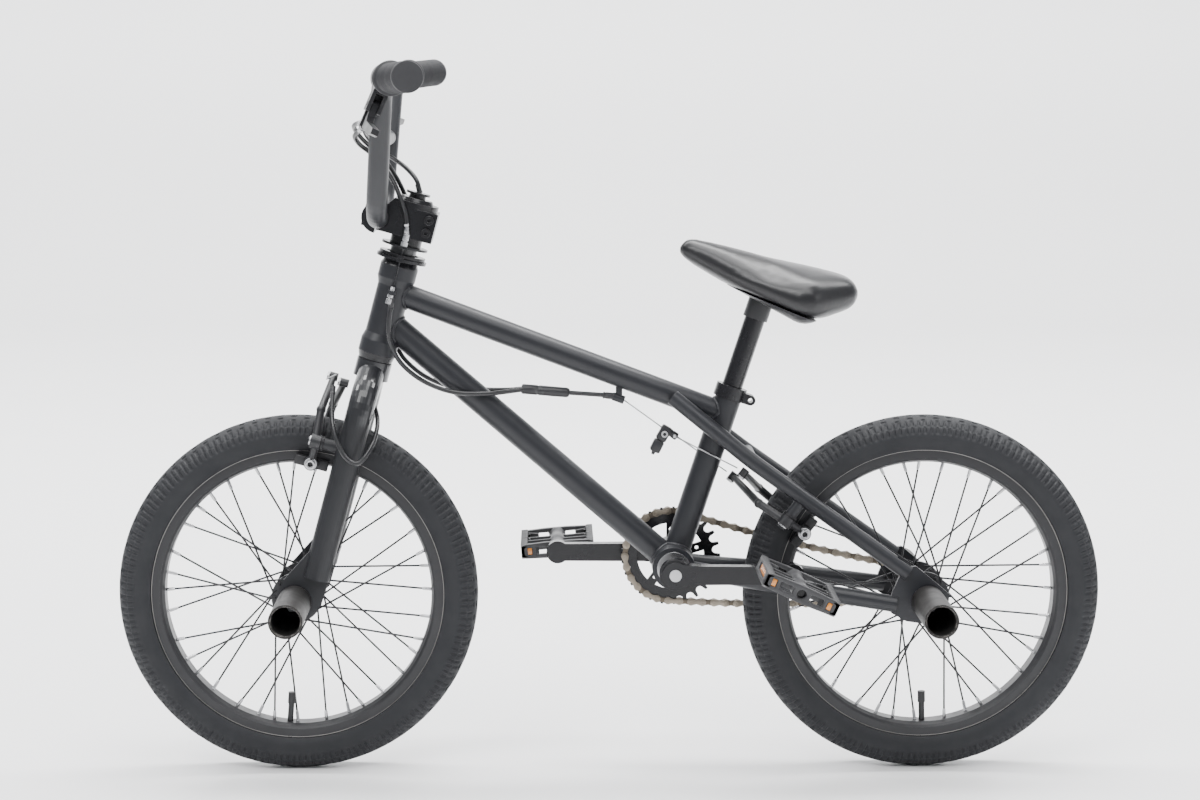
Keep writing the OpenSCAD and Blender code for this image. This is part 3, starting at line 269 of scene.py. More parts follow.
# ---------------------------------------------------------------- mesh helpers
def make(name, verts, faces, mat, body, smooth=True):
    me = bpy.data.meshes.new(name)
    me.from_pydata([tuple(v) for v in verts], [], [tuple(f) for f in faces])
    me.validate()
    bm = bmesh.new()
    bm.from_mesh(me)
    bmesh.ops.recalc_face_normals(bm, faces=bm.faces)
    bm.to_mesh(me)
    bm.free()
    for poly in me.polygons:
        poly.use_smooth = smooth
    o = bpy.data.objects.new(name, me)
    bpy.context.scene.collection.objects.link(o)
    me.materials.append(mat)
    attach(o, body)
    return o


class Parts:
    """Collects verts and faces of many small shapes into one mesh."""

    def __init__(self):
        self.v, self.f = [], []

    def add(self, verts, faces):
        n = len(self.v)
        self.v += [tuple(v) for v in verts]
        self.f += [tuple(i + n for i in f) for f in faces]

    def tube(self, pts, radii, sides=12, cap=True, squash=1.0, ref=None):
        pts = np.asarray(pts, float)
        n = len(pts)
        radii = np.broadcast_to(np.asarray(radii, float), (n,))
        d = np.gradient(pts, axis=0)
        d /= np.linalg.norm(d, axis=1)[:, None]
        u = np.cross(d[0], ref if ref is not None else ([0, 0, 1] if abs(d[0][2]) < 0.9 else [1, 0, 0]))
        rings = []
        for i in range(n):
            u = u - d[i] * np.dot(u, d[i])
            u /= np.linalg.norm(u)
            w = np.cross(d[i], u)
            a = np.linspace(0, 2 * math.pi, sides, endpoint=False)[:, None]
            rings.append(pts[i] + radii[i] * (np.cos(a) * u + np.sin(a) * w * squash))
        f = [(i * sides + k, i * sides + (k + 1) % sides,
              (i + 1) * sides + (k + 1) % sides, (i + 1) * sides + k)
             for i in range(n - 1) for k in range(sides)]
        if cap:
            f += [tuple(range(sides))[::-1], tuple((n - 1) * sides + k for k in range(sides))]
        self.add(np.concatenate(rings), f)

    def turned(self, profile, frame_m, segs=32, closed=True):
        """Profile of (radius, height) pairs turned round the local Z of frame_m."""
        n = len(profile)
        v = []
        for k in range(segs):
            a = 2 * math.pi * k / segs
            v += [frame_m @ Vector((r * math.cos(a), r * math.sin(a), z)) for r, z in profile]
        f = []
        for k in range(segs):
            k2 = (k + 1) % segs
            for i in range(n if closed else n - 1):
                j = (i + 1) % n
                f.append((k * n + i, k * n + j, k2 * n + j, k2 * n + i))
        self.add(v, f)

    def box(self, frame_m, lo, hi, bevel=0.0):
        bm = bmesh.new()
        bmesh.ops.create_cube(bm, size=1)
        for v in bm.verts:
            v.co = Vector([lo[i] + (v.co[i] + 0.5) * (hi[i] - lo[i]) for i in range(3)])
        if bevel:
            bmesh.ops.bevel(bm, geom=bm.edges[:], offset=bevel, segments=3, affect="EDGES", profile=0.5)
        self.add_bm(bm, frame_m)

    def plate(self, frame_m, outline, holes, thick, bevel=0.0005):
        """Flat plate of any outline with holes, in the local XY plane, edges rounded."""
        bm = bmesh.new()
        edges = []
        for loop in [outline, *holes]:
            vs = [bm.verts.new((x, y, 0)) for x, y in loop]
            edges += [bm.edges.new((vs[i], vs[(i + 1) % len(vs)])) for i in range(len(vs))]
        bmesh.ops.triangle_fill(bm, use_beauty=True, use_dissolve=False, edges=edges)
        out = bmesh.ops.extrude_face_region(bm, geom=bm.faces[:])
        for e in out["geom"]:
            if isinstance(e, bmesh.types.BMVert):
                e.co.z += thick
        bmesh.ops.recalc_face_normals(bm, faces=bm.faces)
        rims = [e for e in bm.edges if len(e.link_faces) == 2 and
                e.calc_face_angle(0) > 1.2 and abs(e.verts[0].co.z - e.verts[1].co.z) < 1e-7]
        if bevel:
            bmesh.ops.bevel(bm, geom=rims, offset=bevel, segments=2, affect="EDGES", profile=0.5)
        self.add_bm(bm, frame_m)

    def add_bm(self, bm, frame_m):
        bm.verts.index_update()
        self.add([frame_m @ v.co for v in bm.verts], [[v.index for v in f.verts] for f in bm.faces])
        bm.free()

    def done(self, name, mat, body, slot=None, smooth=True, angle=None):
        o = make(name, self.v, self.f, mat, body, smooth)
        if angle:
            o.data.set_sharp_from_angle(angle=math.radians(angle))
        return o


def spline(p, steps=6):
    p = [np.array(q, float) for q in p]
    out = []
    for i in range(len(p) - 1):
        a, b, c, e = p[max(i - 1, 0)], p[i], p[i + 1], p[min(i + 2, len(p) - 1)]
        for s in range(steps):
            t = s / steps
            out.append(0.5 * (2 * b + (c - a) * t + (2 * a - 5 * b + 4 * c - e) * t * t
                              + (3 * b - a - 3 * c + e) * t ** 3))
    out.append(p[-1])
    return np.array(out) * MM


def axes_at(origin, z, x=None):
    z = Vector(z).normalized()
    x = Vector(x) if x is not None else (Vector((1, 0, 0)) if abs(z.x) < 0.9 else Vector((0, 1, 0)))
    x = (x - z * x.dot(z)).normalized()
    y = z.cross(x)
    return Matrix.Translation(Vector(origin)) @ Matrix((x, y, z)).transposed().to_4x4()


# ---------------------------------------------------------------- wheels
HUB_Z, FRONT_X, REAR_X = 0.195, -0.3395, 0.3395
RING_R, TYRE_R = 171.5, 23.5


def tyre(name, x, body, node):
    """Casing with fine ribs across both shoulders and small blocks over the crown."""
    ribs = 168
    per = 6
    segs = ribs * per
    arc = np.radians(np.concatenate([
        np.linspace(-122, -84, 6), np.linspace(-80, -34, 16), np.linspace(-30, 30, 21),
        np.linspace(34, 80, 16), np.linspace(84, 122, 6)]))
    deg = np.degrees(arc)
    verts, n = [], 0
    bead = [(158.8, 18.6), (158.8, 13.5), (153.5, 13.5), (153.5, 10.6), (159.5, 10.6), (163, 17)]
    inner = [(RING_R + 20 * math.cos(a), 20 * math.sin(a)) for a in np.radians([100, 50, 0, -50, -100])]
    tail = [(r, y) for r, y in bead] + inner + [(r, -y) for r, y in reversed(bead)]
    for k in range(segs):
        th = 2 * math.pi * k / segs
        c, s = math.cos(th), math.sin(th)
        cell, ph = divmod(k, per)
        for a, d in zip(arc, deg):
            ad = abs(d)
            cut = 0.0
            if 35 < ad < 79:
                wide = ph in (0, 1) if (cell + (d > 0)) % 2 else ph in (0, 1, 2)
                cut = 1.15 if wide else 0.0
                if 55 < ad < 58.5:
                    cut = 0.5
                cut *= min(1.0, (ad - 35) / 4, (79 - ad) / 6)
            elif ad <= 35:
                lane = int((d + 33) // 11)
                off = (cell + lane * 2) % 4
                cut = 1.3 if (off == 0 and ph < 5) or 10.0 < abs((d + 33) % 11) else 0.0
            if 84 < ad < 90:
                cut = 0.35
            if 108 < ad < 112:
                cut = 0.3
            r = RING_R + (TYRE_R - cut) * math.cos(a)
            y = (TYRE_R - cut) * math.sin(a)
            verts.append((x + r * c * MM, y * MM, HUB_Z + r * s * MM))
        for r, y in tail:
            verts.append((x + r * c * MM, y * MM, HUB_Z + r * s * MM))
        n = len(arc) + len(tail)
    faces = []
    for k in range(segs):
        k2 = (k + 1) % segs
        for i in range(n):
            j = (i + 1) % n
            faces.append((k * n + i, k * n + j, k2 * n + j, k2 * n + i))
    o = make(name, verts, faces, TYRE, body)
    o.data.set_sharp_from_angle(angle=math.radians(38))
    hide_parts(node)
    return o


def spokes(prefix, x, body, node):
    """Thirty-six laced spokes with elbows, and their nipples."""
    wire, nip = Parts(), Parts()
    per_side = 18
    for i in range(per_side):
        for side in (-1, 1):
            lean = 1 if i % 2 == 0 else -1
            hub_a = math.radians((i + (0.5 if side > 0 else 0)) * 360 / per_side)
            rim_a = math.radians((2 * i + (1 if side > 0 else 0)) * 10 + lean * 60 * 0.98)
            p = np.array([23.5 * math.cos(hub_a), side * (30 + lean * 2.4), 23.5 * math.sin(hub_a)])
            q = np.array([146.5 * math.cos(rim_a), side * 2.5, 146.5 * math.sin(rim_a)])
            # OpenSCAD angles run in X-Z with Z up, as here
            d = (p - q) / np.linalg.norm(p - q)
            base = np.array([x * 1000, 0, 195])
            head = p - np.array([0, side * lean * 4.6, 0])
            path = [base + q, base + q + 14 * d, base + p - 30 * d, base + p - 2.0 * d, base + p,
                    base + (p + head) / 2, base + head]
            wire.tube(np.array(path) * MM, [0.00104, 0.00104, 0.00104, 0.00106, 0.00106, 0.00106, 0.0011], 10)
            cap = [base + head, base + head - np.array([0, side * lean * 1.1, 0])]
            wire.tube(np.array(cap) * MM, 0.0019, 10)
            nip.tube(np.array([base + q - 1.5 * d, base + q + 2.0 * d, base + q + 2.1 * d, base + q + 11 * d,
                               base + q + 13 * d]) * MM, np.array([2.3, 2.3, 1.85, 1.75, 1.2]) * MM, 12)
    o = wire.done(prefix + "_spoke_wires", WIRE, body, "black_steel_wire")
    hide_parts(node)
    nip.done(prefix + "_spoke_nipples", STEEL, body, "bright_steel", angle=30)


def rim_lines(prefix, x, body):
    """Bright machined lip on both edges of the rim."""
    p = Parts()
    m = axes_at((x, 0, HUB_Z), (0, 1, 0))
    for s in (-1, 1):
        prof = [(0.1577, s * 0.01605), (0.1585, s * 0.01625), (0.15885, s * 0.0159), (0.15855, s * 0.0152),
                (0.1577, s * 0.0152)]
        p.turned(prof, m, 256)
    p.done(prefix + "_rim_lip", LIP, body, "bright_steel")


# ---------------------------------------------------------------- saddle
SEAT_LEAN = math.radians(21)
# foot of the cover's flat underside at the nose, in mm along X and Z
NOSE_FOOT = (80, 549)


def saddle():
    src = NODES["saddle_cover"]
    me = src.data.copy()
    me.name = "saddle_pad"
    o = bpy.data.objects.new("saddle_pad", me)
    bpy.context.scene.collection.objects.link(o)
    o.data.materials.clear()
    o.data.materials.append(VINYL)
    bm = bmesh.new()
    bm.from_mesh(me)
    bmesh.ops.remove_doubles(bm, verts=bm.verts, dist=1e-5)
    bm.to_mesh(me)
    bm.free()
    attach(o, "seat")
    bpy.context.view_layer.objects.active = o
    rem = o.modifiers.new("even", "REMESH")
    rem.mode, rem.voxel_size = "VOXEL", 0.004
    sm = o.modifiers.new("relax", "SMOOTH")
    sm.iterations, sm.factor = 24, 0.5
    apply_all(o)
    dip_top(o)
    puff(o, 0.003, 4.0)
    sub = o.modifiers.new("fine", "SUBSURF")
    sub.levels = sub.render_levels = 1
    apply_all(o)
    for poly in o.data.polygons:
        poly.use_smooth = True
    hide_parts("saddle_cover")
    return o


def apply_all(o):
    deps = bpy.context.evaluated_depsgraph_get()
    new = bpy.data.meshes.new_from_object(o.evaluated_get(deps), depsgraph=deps)
    old = o.data
    o.modifiers.clear()
    o.data = new
    bpy.data.meshes.remove(old)


def on_underside(co):
    """A point's distance along the cover's flat underside and its height over it, in mm."""
    x, z = co.x * 1000 - NOSE_FOOT[0], co.z * 1000 - NOSE_FOOT[1]
    c, s = math.cos(SEAT_LEAN), math.sin(SEAT_LEAN)
    return x * c - z * s, x * s + z * c


def dip_top(o):
    """Presses the shallow dip between nose and tail into the top of the pad."""
    for v in o.data.vertices:
        along, height = on_underside(v.co)
        w = math.exp(-((along - 78) / 40) ** 2) * max(0.0, min(1.0, height / 22))
        v.co.z -= 0.0035 * w
        v.co.x -= 0.0010 * w


def puff(o, cap, pressure):
    """A short cloth run under pressure, with each point's travel capped."""
    start = [v.co.copy() for v in o.data.vertices]
    pin = o.vertex_groups.new(name="pin")
    for v in o.data.vertices:
        height = on_underside(v.co)[1]
        pin.add([v.index], 1.0 if height < 3.0 else 0.0, "REPLACE")
    c = o.modifiers.new("cloth", "CLOTH")
    c.settings.quality = 5
    c.settings.use_pressure = True
    c.settings.uniform_pressure_force = pressure
    c.settings.effector_weights.gravity = 0
    c.settings.vertex_group_mass = "pin"
    frames = 20
    c.point_cache.frame_start, c.point_cache.frame_end = 1, frames
    scene = bpy.context.scene
    for f in range(1, frames + 1):
        scene.frame_set(f)
    deps = bpy.context.evaluated_depsgraph_get()
    got = o.evaluated_get(deps).to_mesh()
    new = [v.co.copy() for v in got.vertices]
    o.evaluated_get(deps).to_mesh_clear()
    o.modifiers.clear()
    for v, a, b in zip(o.data.vertices, start, new):
        step = b - a
        if step.length > cap:
            step *= cap / step.length
        v.co = a + step
    scene.frame_set(1)


# ---------------------------------------------------------------- cables
ROTOR_LEFT = [(-258, -111, 701), (-262, -98, 698), (-268, -84, 692), (-264, -68, 683), (-253, -53, 673),
              (-241, -42, 659), (-230, -34, 640), (-222, -30, 618), (-218, -29, 602), (-218, -29, 587)]
ROTOR_RIGHT = [(-258, -111, 706), (-263, -96, 706), (-269, -80, 702), (-266, -60, 693), (-257, -36, 681),
               (-244, -10, 667), (-233, 12, 649), (-223, 28, 626), (-218, 30, 606), (-218, 29, 587)]
FRONT_UPPER = [(-258, 111, 703), (-265, 99, 702), (-270, 86, 697), (-267, 70, 689), (-258, 56, 679),
               (-247, 44, 671), (-234, 28, 664), (-220, 12, 655), (-209, 2, 643), (-205, 0, 629)]
FRONT_LOWER = [(-255, 0, 447), (-259, -3, 425), (-256, -16, 407), (-250, -40, 390), (-252, -58, 372),
               (-260, -66, 356), (-270, -68, 347), (-281, -67, 352), (-290, -63, 366), (-296, -56, 385),
               (-298, -44, 405), (-298, -28, 424)]
REAR_SIDE = [(-234, 29, 519), (-237, 29, 500), (-238, 28, 480), (-233, 26, 462), (-222, 24, 445),
             (-200, 21, 428), (-170, 20, 417), (-135, 17, 415), (-112, 8, 416), (-94, 3, 418)]
REAR_MAIN = [(-48, 0, 414), (-34, 0, 413), (-18, 0, 412), (-6, 0, 411)]
FOOT = np.array([-324.045, 0, 190.859])
TILT = math.radians(15)


def at_head(x, y, h):
    c, s = math.cos(TILT), math.sin(TILT)
    return FOOT + np.array([x * c + h * s, y, h * c - x * s])


def front_brake(lat, along, out):
    return at_head(-37 - out, lat, 147 + along)


def rear_brake(lat, along, out):
    c, n = math.cos(math.radians(37)), math.sin(math.radians(37))
    return np.array([207.5 - along * c - out * n, lat, 265.8 + along * n - out * c])


def flip(pts):
    return [(x, -y, z) for x, y, z in pts]


def between(a, b, ts):
    a, b = np.array(a, float), np.array(b, float)
    return np.array([a + (b - a) * t for t in ts]) * MM


def ferrule(p, a, b, r):
    """Crimped end cap with a rolled lip, from a to b."""
    p.tube(between(a, b, [0, 0.02, 0.1, 0.14, 0.2, 0.7, 0.74, 0.8, 0.84, 0.98, 1]),
           np.array([0.8, 1.0, 1.0, 0.92, 0.95, 0.95, 0.86, 0.86, 0.95, 0.95, 0.7]) * r * MM, 20)


def knurled(p, a, b, r, teeth=18, bore=0.0):
    """Adjusting barrel with a ridged rim."""
    pts = between(a, b, [0, 0.06, 0.5, 0.94, 1])
    n = teeth * 3
    d = (pts[-1] - pts[0]) / np.linalg.norm(pts[-1] - pts[0])
    u = np.cross(d, [1, 0, 0.2])
    u /= np.linalg.norm(u)
    w = np.cross(d, u)
    rings = []
    for q, k in zip(pts, (0.86, 1, 1, 1, 0.86)):
        ang = np.arange(n) * 2 * math.pi / n
        rr = r * MM * k * (1 - 0.07 * (np.arange(n) % 3 == 0))
        rings.append(q + rr[:, None] * (np.cos(ang)[:, None] * u + np.sin(ang)[:, None] * w))
    loops = len(pts) - 1
    if bore:
        wall = bore * MM * (np.cos(ang)[:, None] * u + np.sin(ang)[:, None] * w)
        rings += [pts[-1] + wall, pts[0] + wall]
        loops = len(rings)
    f = []
    for i in range(loops):
        a, b = i * n, (i + 1) % len(rings) * n
        f += [(a + k, a + (k + 1) % n, b + (k + 1) % n, b + k) for k in range(n)]
    if not bore:
        f += [tuple(range(n))[::-1], tuple((len(pts) - 1) * n + k for k in range(n))]
    p.add(np.concatenate(rings), f)


def end_dir(route, first):
    a, b = (route[0], route[1]) if first else (route[-1], route[-2])
    a, b = np.array(a, float), np.array(b, float)
    return a, (b - a) / np.linalg.norm(b - a)


def cables():
    p, m = Parts(), Parts()
    for route in (ROTOR_LEFT, ROTOR_RIGHT):
        p.tube(spline(route), 0.0025, 16)
        for first in (True, False):
            a, d = end_dir(route, first)
            ferrule(m, a, a + 11 * d, 3.1)
    for y in (-29, 29):
        # bored for the wire that the ring pushes up
        up = at_head(0, y, 397.5) - at_head(0, y, 396.5)
        prof = ((1.3, 0), (2.3, 0), (2.6, 0.4), (2.6, 13.6), (2.2, 14), (1.3, 14))
        m.turned([(r * MM, h * MM) for r, h in prof], axes_at(at_head(0, y, 396.5) * MM, up), 16)
        knurled(m, at_head(0, y, 396.6), at_head(0, y, 401.5), 3.6, bore=1.3)
        knurled(m, at_head(0, y, 403), at_head(0, y, 410.6), 3.3, bore=1.3)
    o = p.done("rotor_cable_housings", HOUSING, "steering", "cable_housing")
    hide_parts("rotor_upper_cables")
    m.done("rotor_cable_barrels", STEEL, "steering", "bright_steel", angle=35)

    p, m, w = Parts(), Parts(), Parts()
    for route in (FRONT_UPPER, FRONT_LOWER):
        p.tube(spline(route), 0.0025, 16)
        for first in (True, False):
            a, d = end_dir(route, first)
            ferrule(m, a, a + 10 * d, 3.1)
    p.tube(between(at_head(0, 0, 454), at_head(0, 0, 246), [0, 0.5, 1]), 0.0025, 16)
    w.tube(between(front_brake(-21, 90, 7), front_brake(5, 93.8, 0), [0, 0.3, 0.7, 1]), 0.00075, 10)
    w.tube(between(at_head(0, 0, 246), at_head(0, 0, 240), [0, 1]), 0.00075, 10)
    o = p.done("front_cable_housing", HOUSING, "steering", "cable_housing")
    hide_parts("front_brake_cable")
    m.done("front_cable_ferrules", SATIN, "steering", "satin_black_alloy", angle=35)
    w.done("front_brake_wire", SILVER, "steering", "bright_steel")

    p, m, b = Parts(), Parts(), Parts()
    for route in (REAR_SIDE, flip(REAR_SIDE), REAR_MAIN):
        p.tube(spline(route), 0.0025, 16)
    for route in (REAR_SIDE, flip(REAR_SIDE)):
        a, d = end_dir(route, True)
        ferrule(b, a, a + 12 * d, 3.1)
    for y in (-29, 29):
        m.tube(between(at_head(0, y, 333), at_head(0, y, 352), [0, 0.02, 0.98, 1]),
               np.array([2.1, 2.35, 2.35, 2.1]) * MM, 16)
        knurled(m, at_head(0, y, 333.2), at_head(0, y, 339), 3.8)
        knurled(m, at_head(0, y, 340.2), at_head(0, y, 343.6), 3.6, 6)
    # sleeve that joins the two upper cables into one
    sleeve = np.array([(-97, 0, 418.1), (-96, 0, 418), (-95, 0, 417.9), (-80, 0, 416.7), (-79.5, 0, 416.6),
                       (-78.5, 0, 416.5), (-78, 0, 416.5), (-62, 0, 415.1), (-48, 0, 414), (-46, 0, 413.8),
                       (-45, 0, 413.7)]) * MM
    b.tube(sleeve, np.array([4.2, 5.2, 5.5, 5.5, 5.0, 5.0, 5.5, 5.5, 5.4, 4.6, 3.4]) * MM, 24)
    ferrule(b, (3, 0, 410), (-9, 0, 411.2), 3.9)
    o = p.done("rear_cable_housings", HOUSING, "frame", "cable_housing")
    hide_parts("rear_brake_cable")
    m.done("lower_cable_barrels", STEEL, "frame", "bright_steel", angle=35)
    b.done("rear_cable_sleeve", SATIN, "frame", "satin_black_alloy", angle=50)


def hanger():
    """Two-part cast hanger block, its clamp bolt and the bare wires either side of it."""
    p, m, w = Parts(), Parts(), Parts()
    # upper clamp, turned across the main wire
    up = axes_at(np.array((66, 0, 369)) * MM, (0.83, 0, -0.56), (0, 1, 0))
    p.turned([(0.0006, -0.0068), (0.0034, -0.0068), (0.0042, -0.006), (0.0042, -0.001), (0.0036, 0),
              (0.0042, 0.001), (0.0042, 0.006), (0.0034, 0.0068), (0.0006, 0.0068)], up, 28)
    blk = axes_at(np.array((57.5, 0, 369.5)) * MM, (0.5, 0, 0.86), (0, 1, 0))
    p.box(blk, (-0.0052, -0.0058, -0.0085), (0.0052, 0.0058, 0.0085), 0.0018)
    p.box(axes_at(np.array((50, 0, 356)) * MM, (0.44, 0, 0.9), (0, 1, 0)), (-0.0056, -0.0058, -0.0072),
          (0.0056, 0.0058, 0.0068), 0.0022)
    p.tube(between((47.4, 0, 352), (45.2, 0, 346.5), [0, 0.3, 1]), np.array([3.4, 2.6, 1.6]) * MM, 16)
    bolt = axes_at(np.array((58, -6.2, 369)) * MM, (0, 1, 0))
    m.turned(hex_socket(0.0036, 0.0026), bolt, 24)
    m.tube(between((69, -8, 367), (69, 8, 367), [0, 0.03, 0.97, 1]), np.array([1.4, 2.0, 2.0, 1.4]) * MM, 14)
    w.tube(between((14.5, 0, 405.4), (62, 0, 371), [0, 0.5, 1]), 0.00075, 10)
    for s in (-1, 1):
        w.tube(between((69, s * 7, 367), rear_brake(s * 23, 98.8, s * 7 - 5), [0, 0.5, 1]), 0.00075, 10)
    o = p.done("rear_hanger_block", SATIN, "frame", "satin_black_alloy", angle=35)
    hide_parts("rear_brake_hanger")
    m.done("rear_hanger_bolt", STEEL, "frame", "bright_steel", angle=35)
    w.done("rear_brake_wires", SILVER, "frame", "bright_steel")


def hex_socket(r, h):
    """Half profile of a cap screw's head, its mouth towards minus Z."""
    return [(0.00001, h), (r * 0.96, h), (r, h * 0.9), (r, h * 0.1), (r * 0.9, 0), (r * 0.56, 0),
            (r * 0.52, h * 0.1), (r * 0.52, h * 0.55), (0.00001, h * 0.62)]


def hexagon(r, turn=0.0, n=6, cut=0.0):
    return [((r - cut) * math.cos(turn + k * 2 * math.pi / n),
             (r - cut) * math.sin(turn + k * 2 * math.pi / n))
            for k in range(n)]


def nut_at(p, centre, axis, r, h, hole=0.0):
    m = axes_at(centre, axis)
    ring = np.arange(20) * 2 * math.pi / 20
    holes = [[(hole * math.cos(a), hole * math.sin(a)) for a in ring]] if hole else []
    p.plate(m, hexagon(r), holes, h, 0.0004)


# ---------------------------------------------------------------- brake arm fittings
def brake_fittings():
    """Pivot bolt, return spring, pad nut and wire clamp on each arm."""
    for pre, point, tip in (("front", front_brake, (13, 90)), ("rear", rear_brake, (23, 90))):
        for side in (-1, 1):
            # the left arm carries the left pad and crosses to the right
            over = 1 if side < 0 else -1
            q = lambda lat, along, out: point(lat if side < 0 else -lat, along, out) * MM
            metal, spring = Parts(), Parts()
            out = q(0, 0, 1) - q(0, 0, 0)
            lat = q(1, 0, 0) - q(0, 0, 0)
            cap = [(0.00001, 0.0028), (0.0024, 0.0028), (0.0026, 0.0020), (0.0048, 0.0018),
                   (0.0054, 0.0014), (0.0054, 0.0), (0.00001, 0.0)]
            metal.turned(cap, axes_at(q(-43, 25, 6.0), out), 28)
            nut_at(metal, q(-41.4, 0, 0), -Vector(lat), 0.0056, 0.0045, 0.0028)
            metal.turned([(0.0031, 0), (0.0066, 0), (0.0066, 0.0012), (0.0031, 0.0012)],
                         axes_at(q(-40.2, 0, 0), -Vector(lat)), 28)
            n = over * 7 - 5
            nut_at(metal, q(tip[0], tip[1], n + 4.5), out, 0.0044, 0.0026)
            metal.turned([(0.00001, 0), (0.0048, 0), (0.0048, 0.001), (0.00001, 0.001)],
                         axes_at(q(tip[0], tip[1], n + 4.4), out), 28)
            # coil round the stud and a leg up to the arm
            pts = []
            for k in range(49):
                a = k / 48 * 2 * math.pi * 2.75
                pts.append(q(-43 + 7.4 * math.cos(a), 25 + 7.4 * math.sin(a), -5.6 - 2.4 * k / 48))
            pts = pts[::-1] + [q(-43 + 7.2, 25 + 6, -5.4), q(-36.5, 42, -3.6), q(-34.2, 50, -2.4)]
            spring.tube(np.array([list(v) for v in pts]), 0.0007, 8)
            name = f"{pre}_arm_{'left' if side < 0 else 'right'}"
            metal.done(name + "_fittings", STEEL, name, "bright_steel", angle=32)
            spring.done(name + "_spring", WIRE, name, "black_steel_wire")
            # pad in three blocks with water grooves between, and its holder cup
            pad = Parts()
            m = Matrix.Translation(Vector(q(-22.6, -1.2, 0))) @ Matrix((
                Vector(lat).normalized(), Vector(q(0, 1, 0) - q(0, 0, 0)).normalized(),
                Vector(out).normalized())).transposed().to_4x4()
            for lo, hi in ((-18, -6.5), (-5.9, 5.9), (6.5, 18)):
                pad.box(m, (-0.0052, -0.0052, lo * MM), (0.0049, 0.0052, hi * MM), 0.0008)
            pad.turned([(0.00001, -0.0062), (0.0066, -0.0062), (0.0066, -0.0048), (0.0052, -0.0044),
                        (0.00001, -0.0044)], m @ Matrix.Rotation(math.radians(90), 4, "Y"), 24)
            pad.done(name + "_pad_blocks", TUBE, name, "tyre_rubber", angle=32)


# ---------------------------------------------------------------- chain
CHAIN_TILT = math.radians(-6.60593)
PITCH, CHAIN_LEN, SAG = 12.7, 273.818, 5
RING_TEETH, DRIVER_TEETH = 25, 9
RING_P, DRIVER_P = (PITCH / (2 * math.sin(math.pi / n)) for n in (RING_TEETH, DRIVER_TEETH))
# links on the chainring, on the driver and on each run between them
ON_RING, ON_DRIVER, ON_RUN = 13, 3, 22


def chain_points():
    def ring(k):
        a = math.pi - (k - ON_RING / 2) * 2 * math.pi / RING_TEETH
        return np.array([RING_P * math.cos(a), RING_P * math.sin(a)])

    def driver(k):
        a = (ON_DRIVER / 2 - k) * 2 * math.pi / DRIVER_TEETH
        return np.array([CHAIN_LEN + DRIVER_P * math.cos(a), DRIVER_P * math.sin(a)])

    def run(a, b, k):
        t = k / ON_RUN
        return a * (1 - t) + b * t - np.array([0, 4 * SAG * t * (1 - t)])

    return ([ring(k) for k in range(ON_RING, 0, -1)]
            + [run(ring(0), driver(ON_DRIVER), k) for k in range(ON_RUN)]
            + [driver(k) for k in range(ON_DRIVER, 0, -1)]
            + [run(driver(0), ring(ON_RING), k) for k in range(ON_RUN)])


def link_outline(length, r, waist):
    right = [(length + r * math.cos(a), r * math.sin(a)) for a in np.radians(np.arange(-125, 126, 25))]
    left = [(r * math.cos(a), r * math.sin(a)) for a in np.radians(np.arange(55, 306, 25))]
    return right + [(length / 2, waist)] + left + [(length / 2, -waist)]


def chain():
    pts = chain_points()
    c, s = math.cos(CHAIN_TILT), math.sin(CHAIN_TILT)
    base = Matrix(((c, -s, 0, 0.0675), (0, 0, 1, 0.042), (s, c, 0, 0.2265), (0, 0, 0, 1)))
    plates, inner, pins = Parts(), Parts(), Parts()
    for i, a in enumerate(pts):
        b = pts[(i + 1) % len(pts)]
        ang = math.atan2(b[1] - a[1], b[0] - a[0])
        length = float(np.linalg.norm(b - a)) * MM
        at = base @ Matrix.Translation(Vector((a[0] * MM, a[1] * MM, 0)))
        turn = Matrix.Rotation(ang, 4, "Z")
        outer = i % 2
        for side in (-1, 1):
            z = (side * (3.2 if outer else 2.15) - 0.45) * MM
            outline = link_outline(length, 0.0042, 0.0023 if outer else 0.0026)
            (plates if outer else inner).plate(at @ turn @ Matrix.Translation(Vector((0, 0, z))),
                                               outline, [], 0.0009, 0.00022)
        pins.turned([(0.00001, -0.00420), (0.0007, -0.00422), (0.0011, -0.00440), (0.0016, -0.00436),
                     (0.0018, -0.0041), (0.0018, 0.0041), (0.0016, 0.00436), (0.0011, 0.0044),
                     (0.0007, 0.00422), (0.00001, 0.0042)], at, 18)
        pins.turned([(0.0019, -0.0017), (0.0036, -0.0017), (0.00385, -0.0014), (0.00385, 0.0014),
                     (0.0036, 0.0017), (0.0019, 0.0017)], at, 22)
    o = plates.done("chain_plates", CHAIN, "frame", "chain_nickel", angle=32)
    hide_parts("chain")
    # the inner plates take the darker copy of the nickel, which is painted shade
    inner.done("chain_inner_plates", CHAIN_PAINTED_SHADE, "frame", "chain_nickel", angle=32)
    pins.done("chain_pins_and_rollers", CHAIN, "frame", "chain_nickel", angle=32)


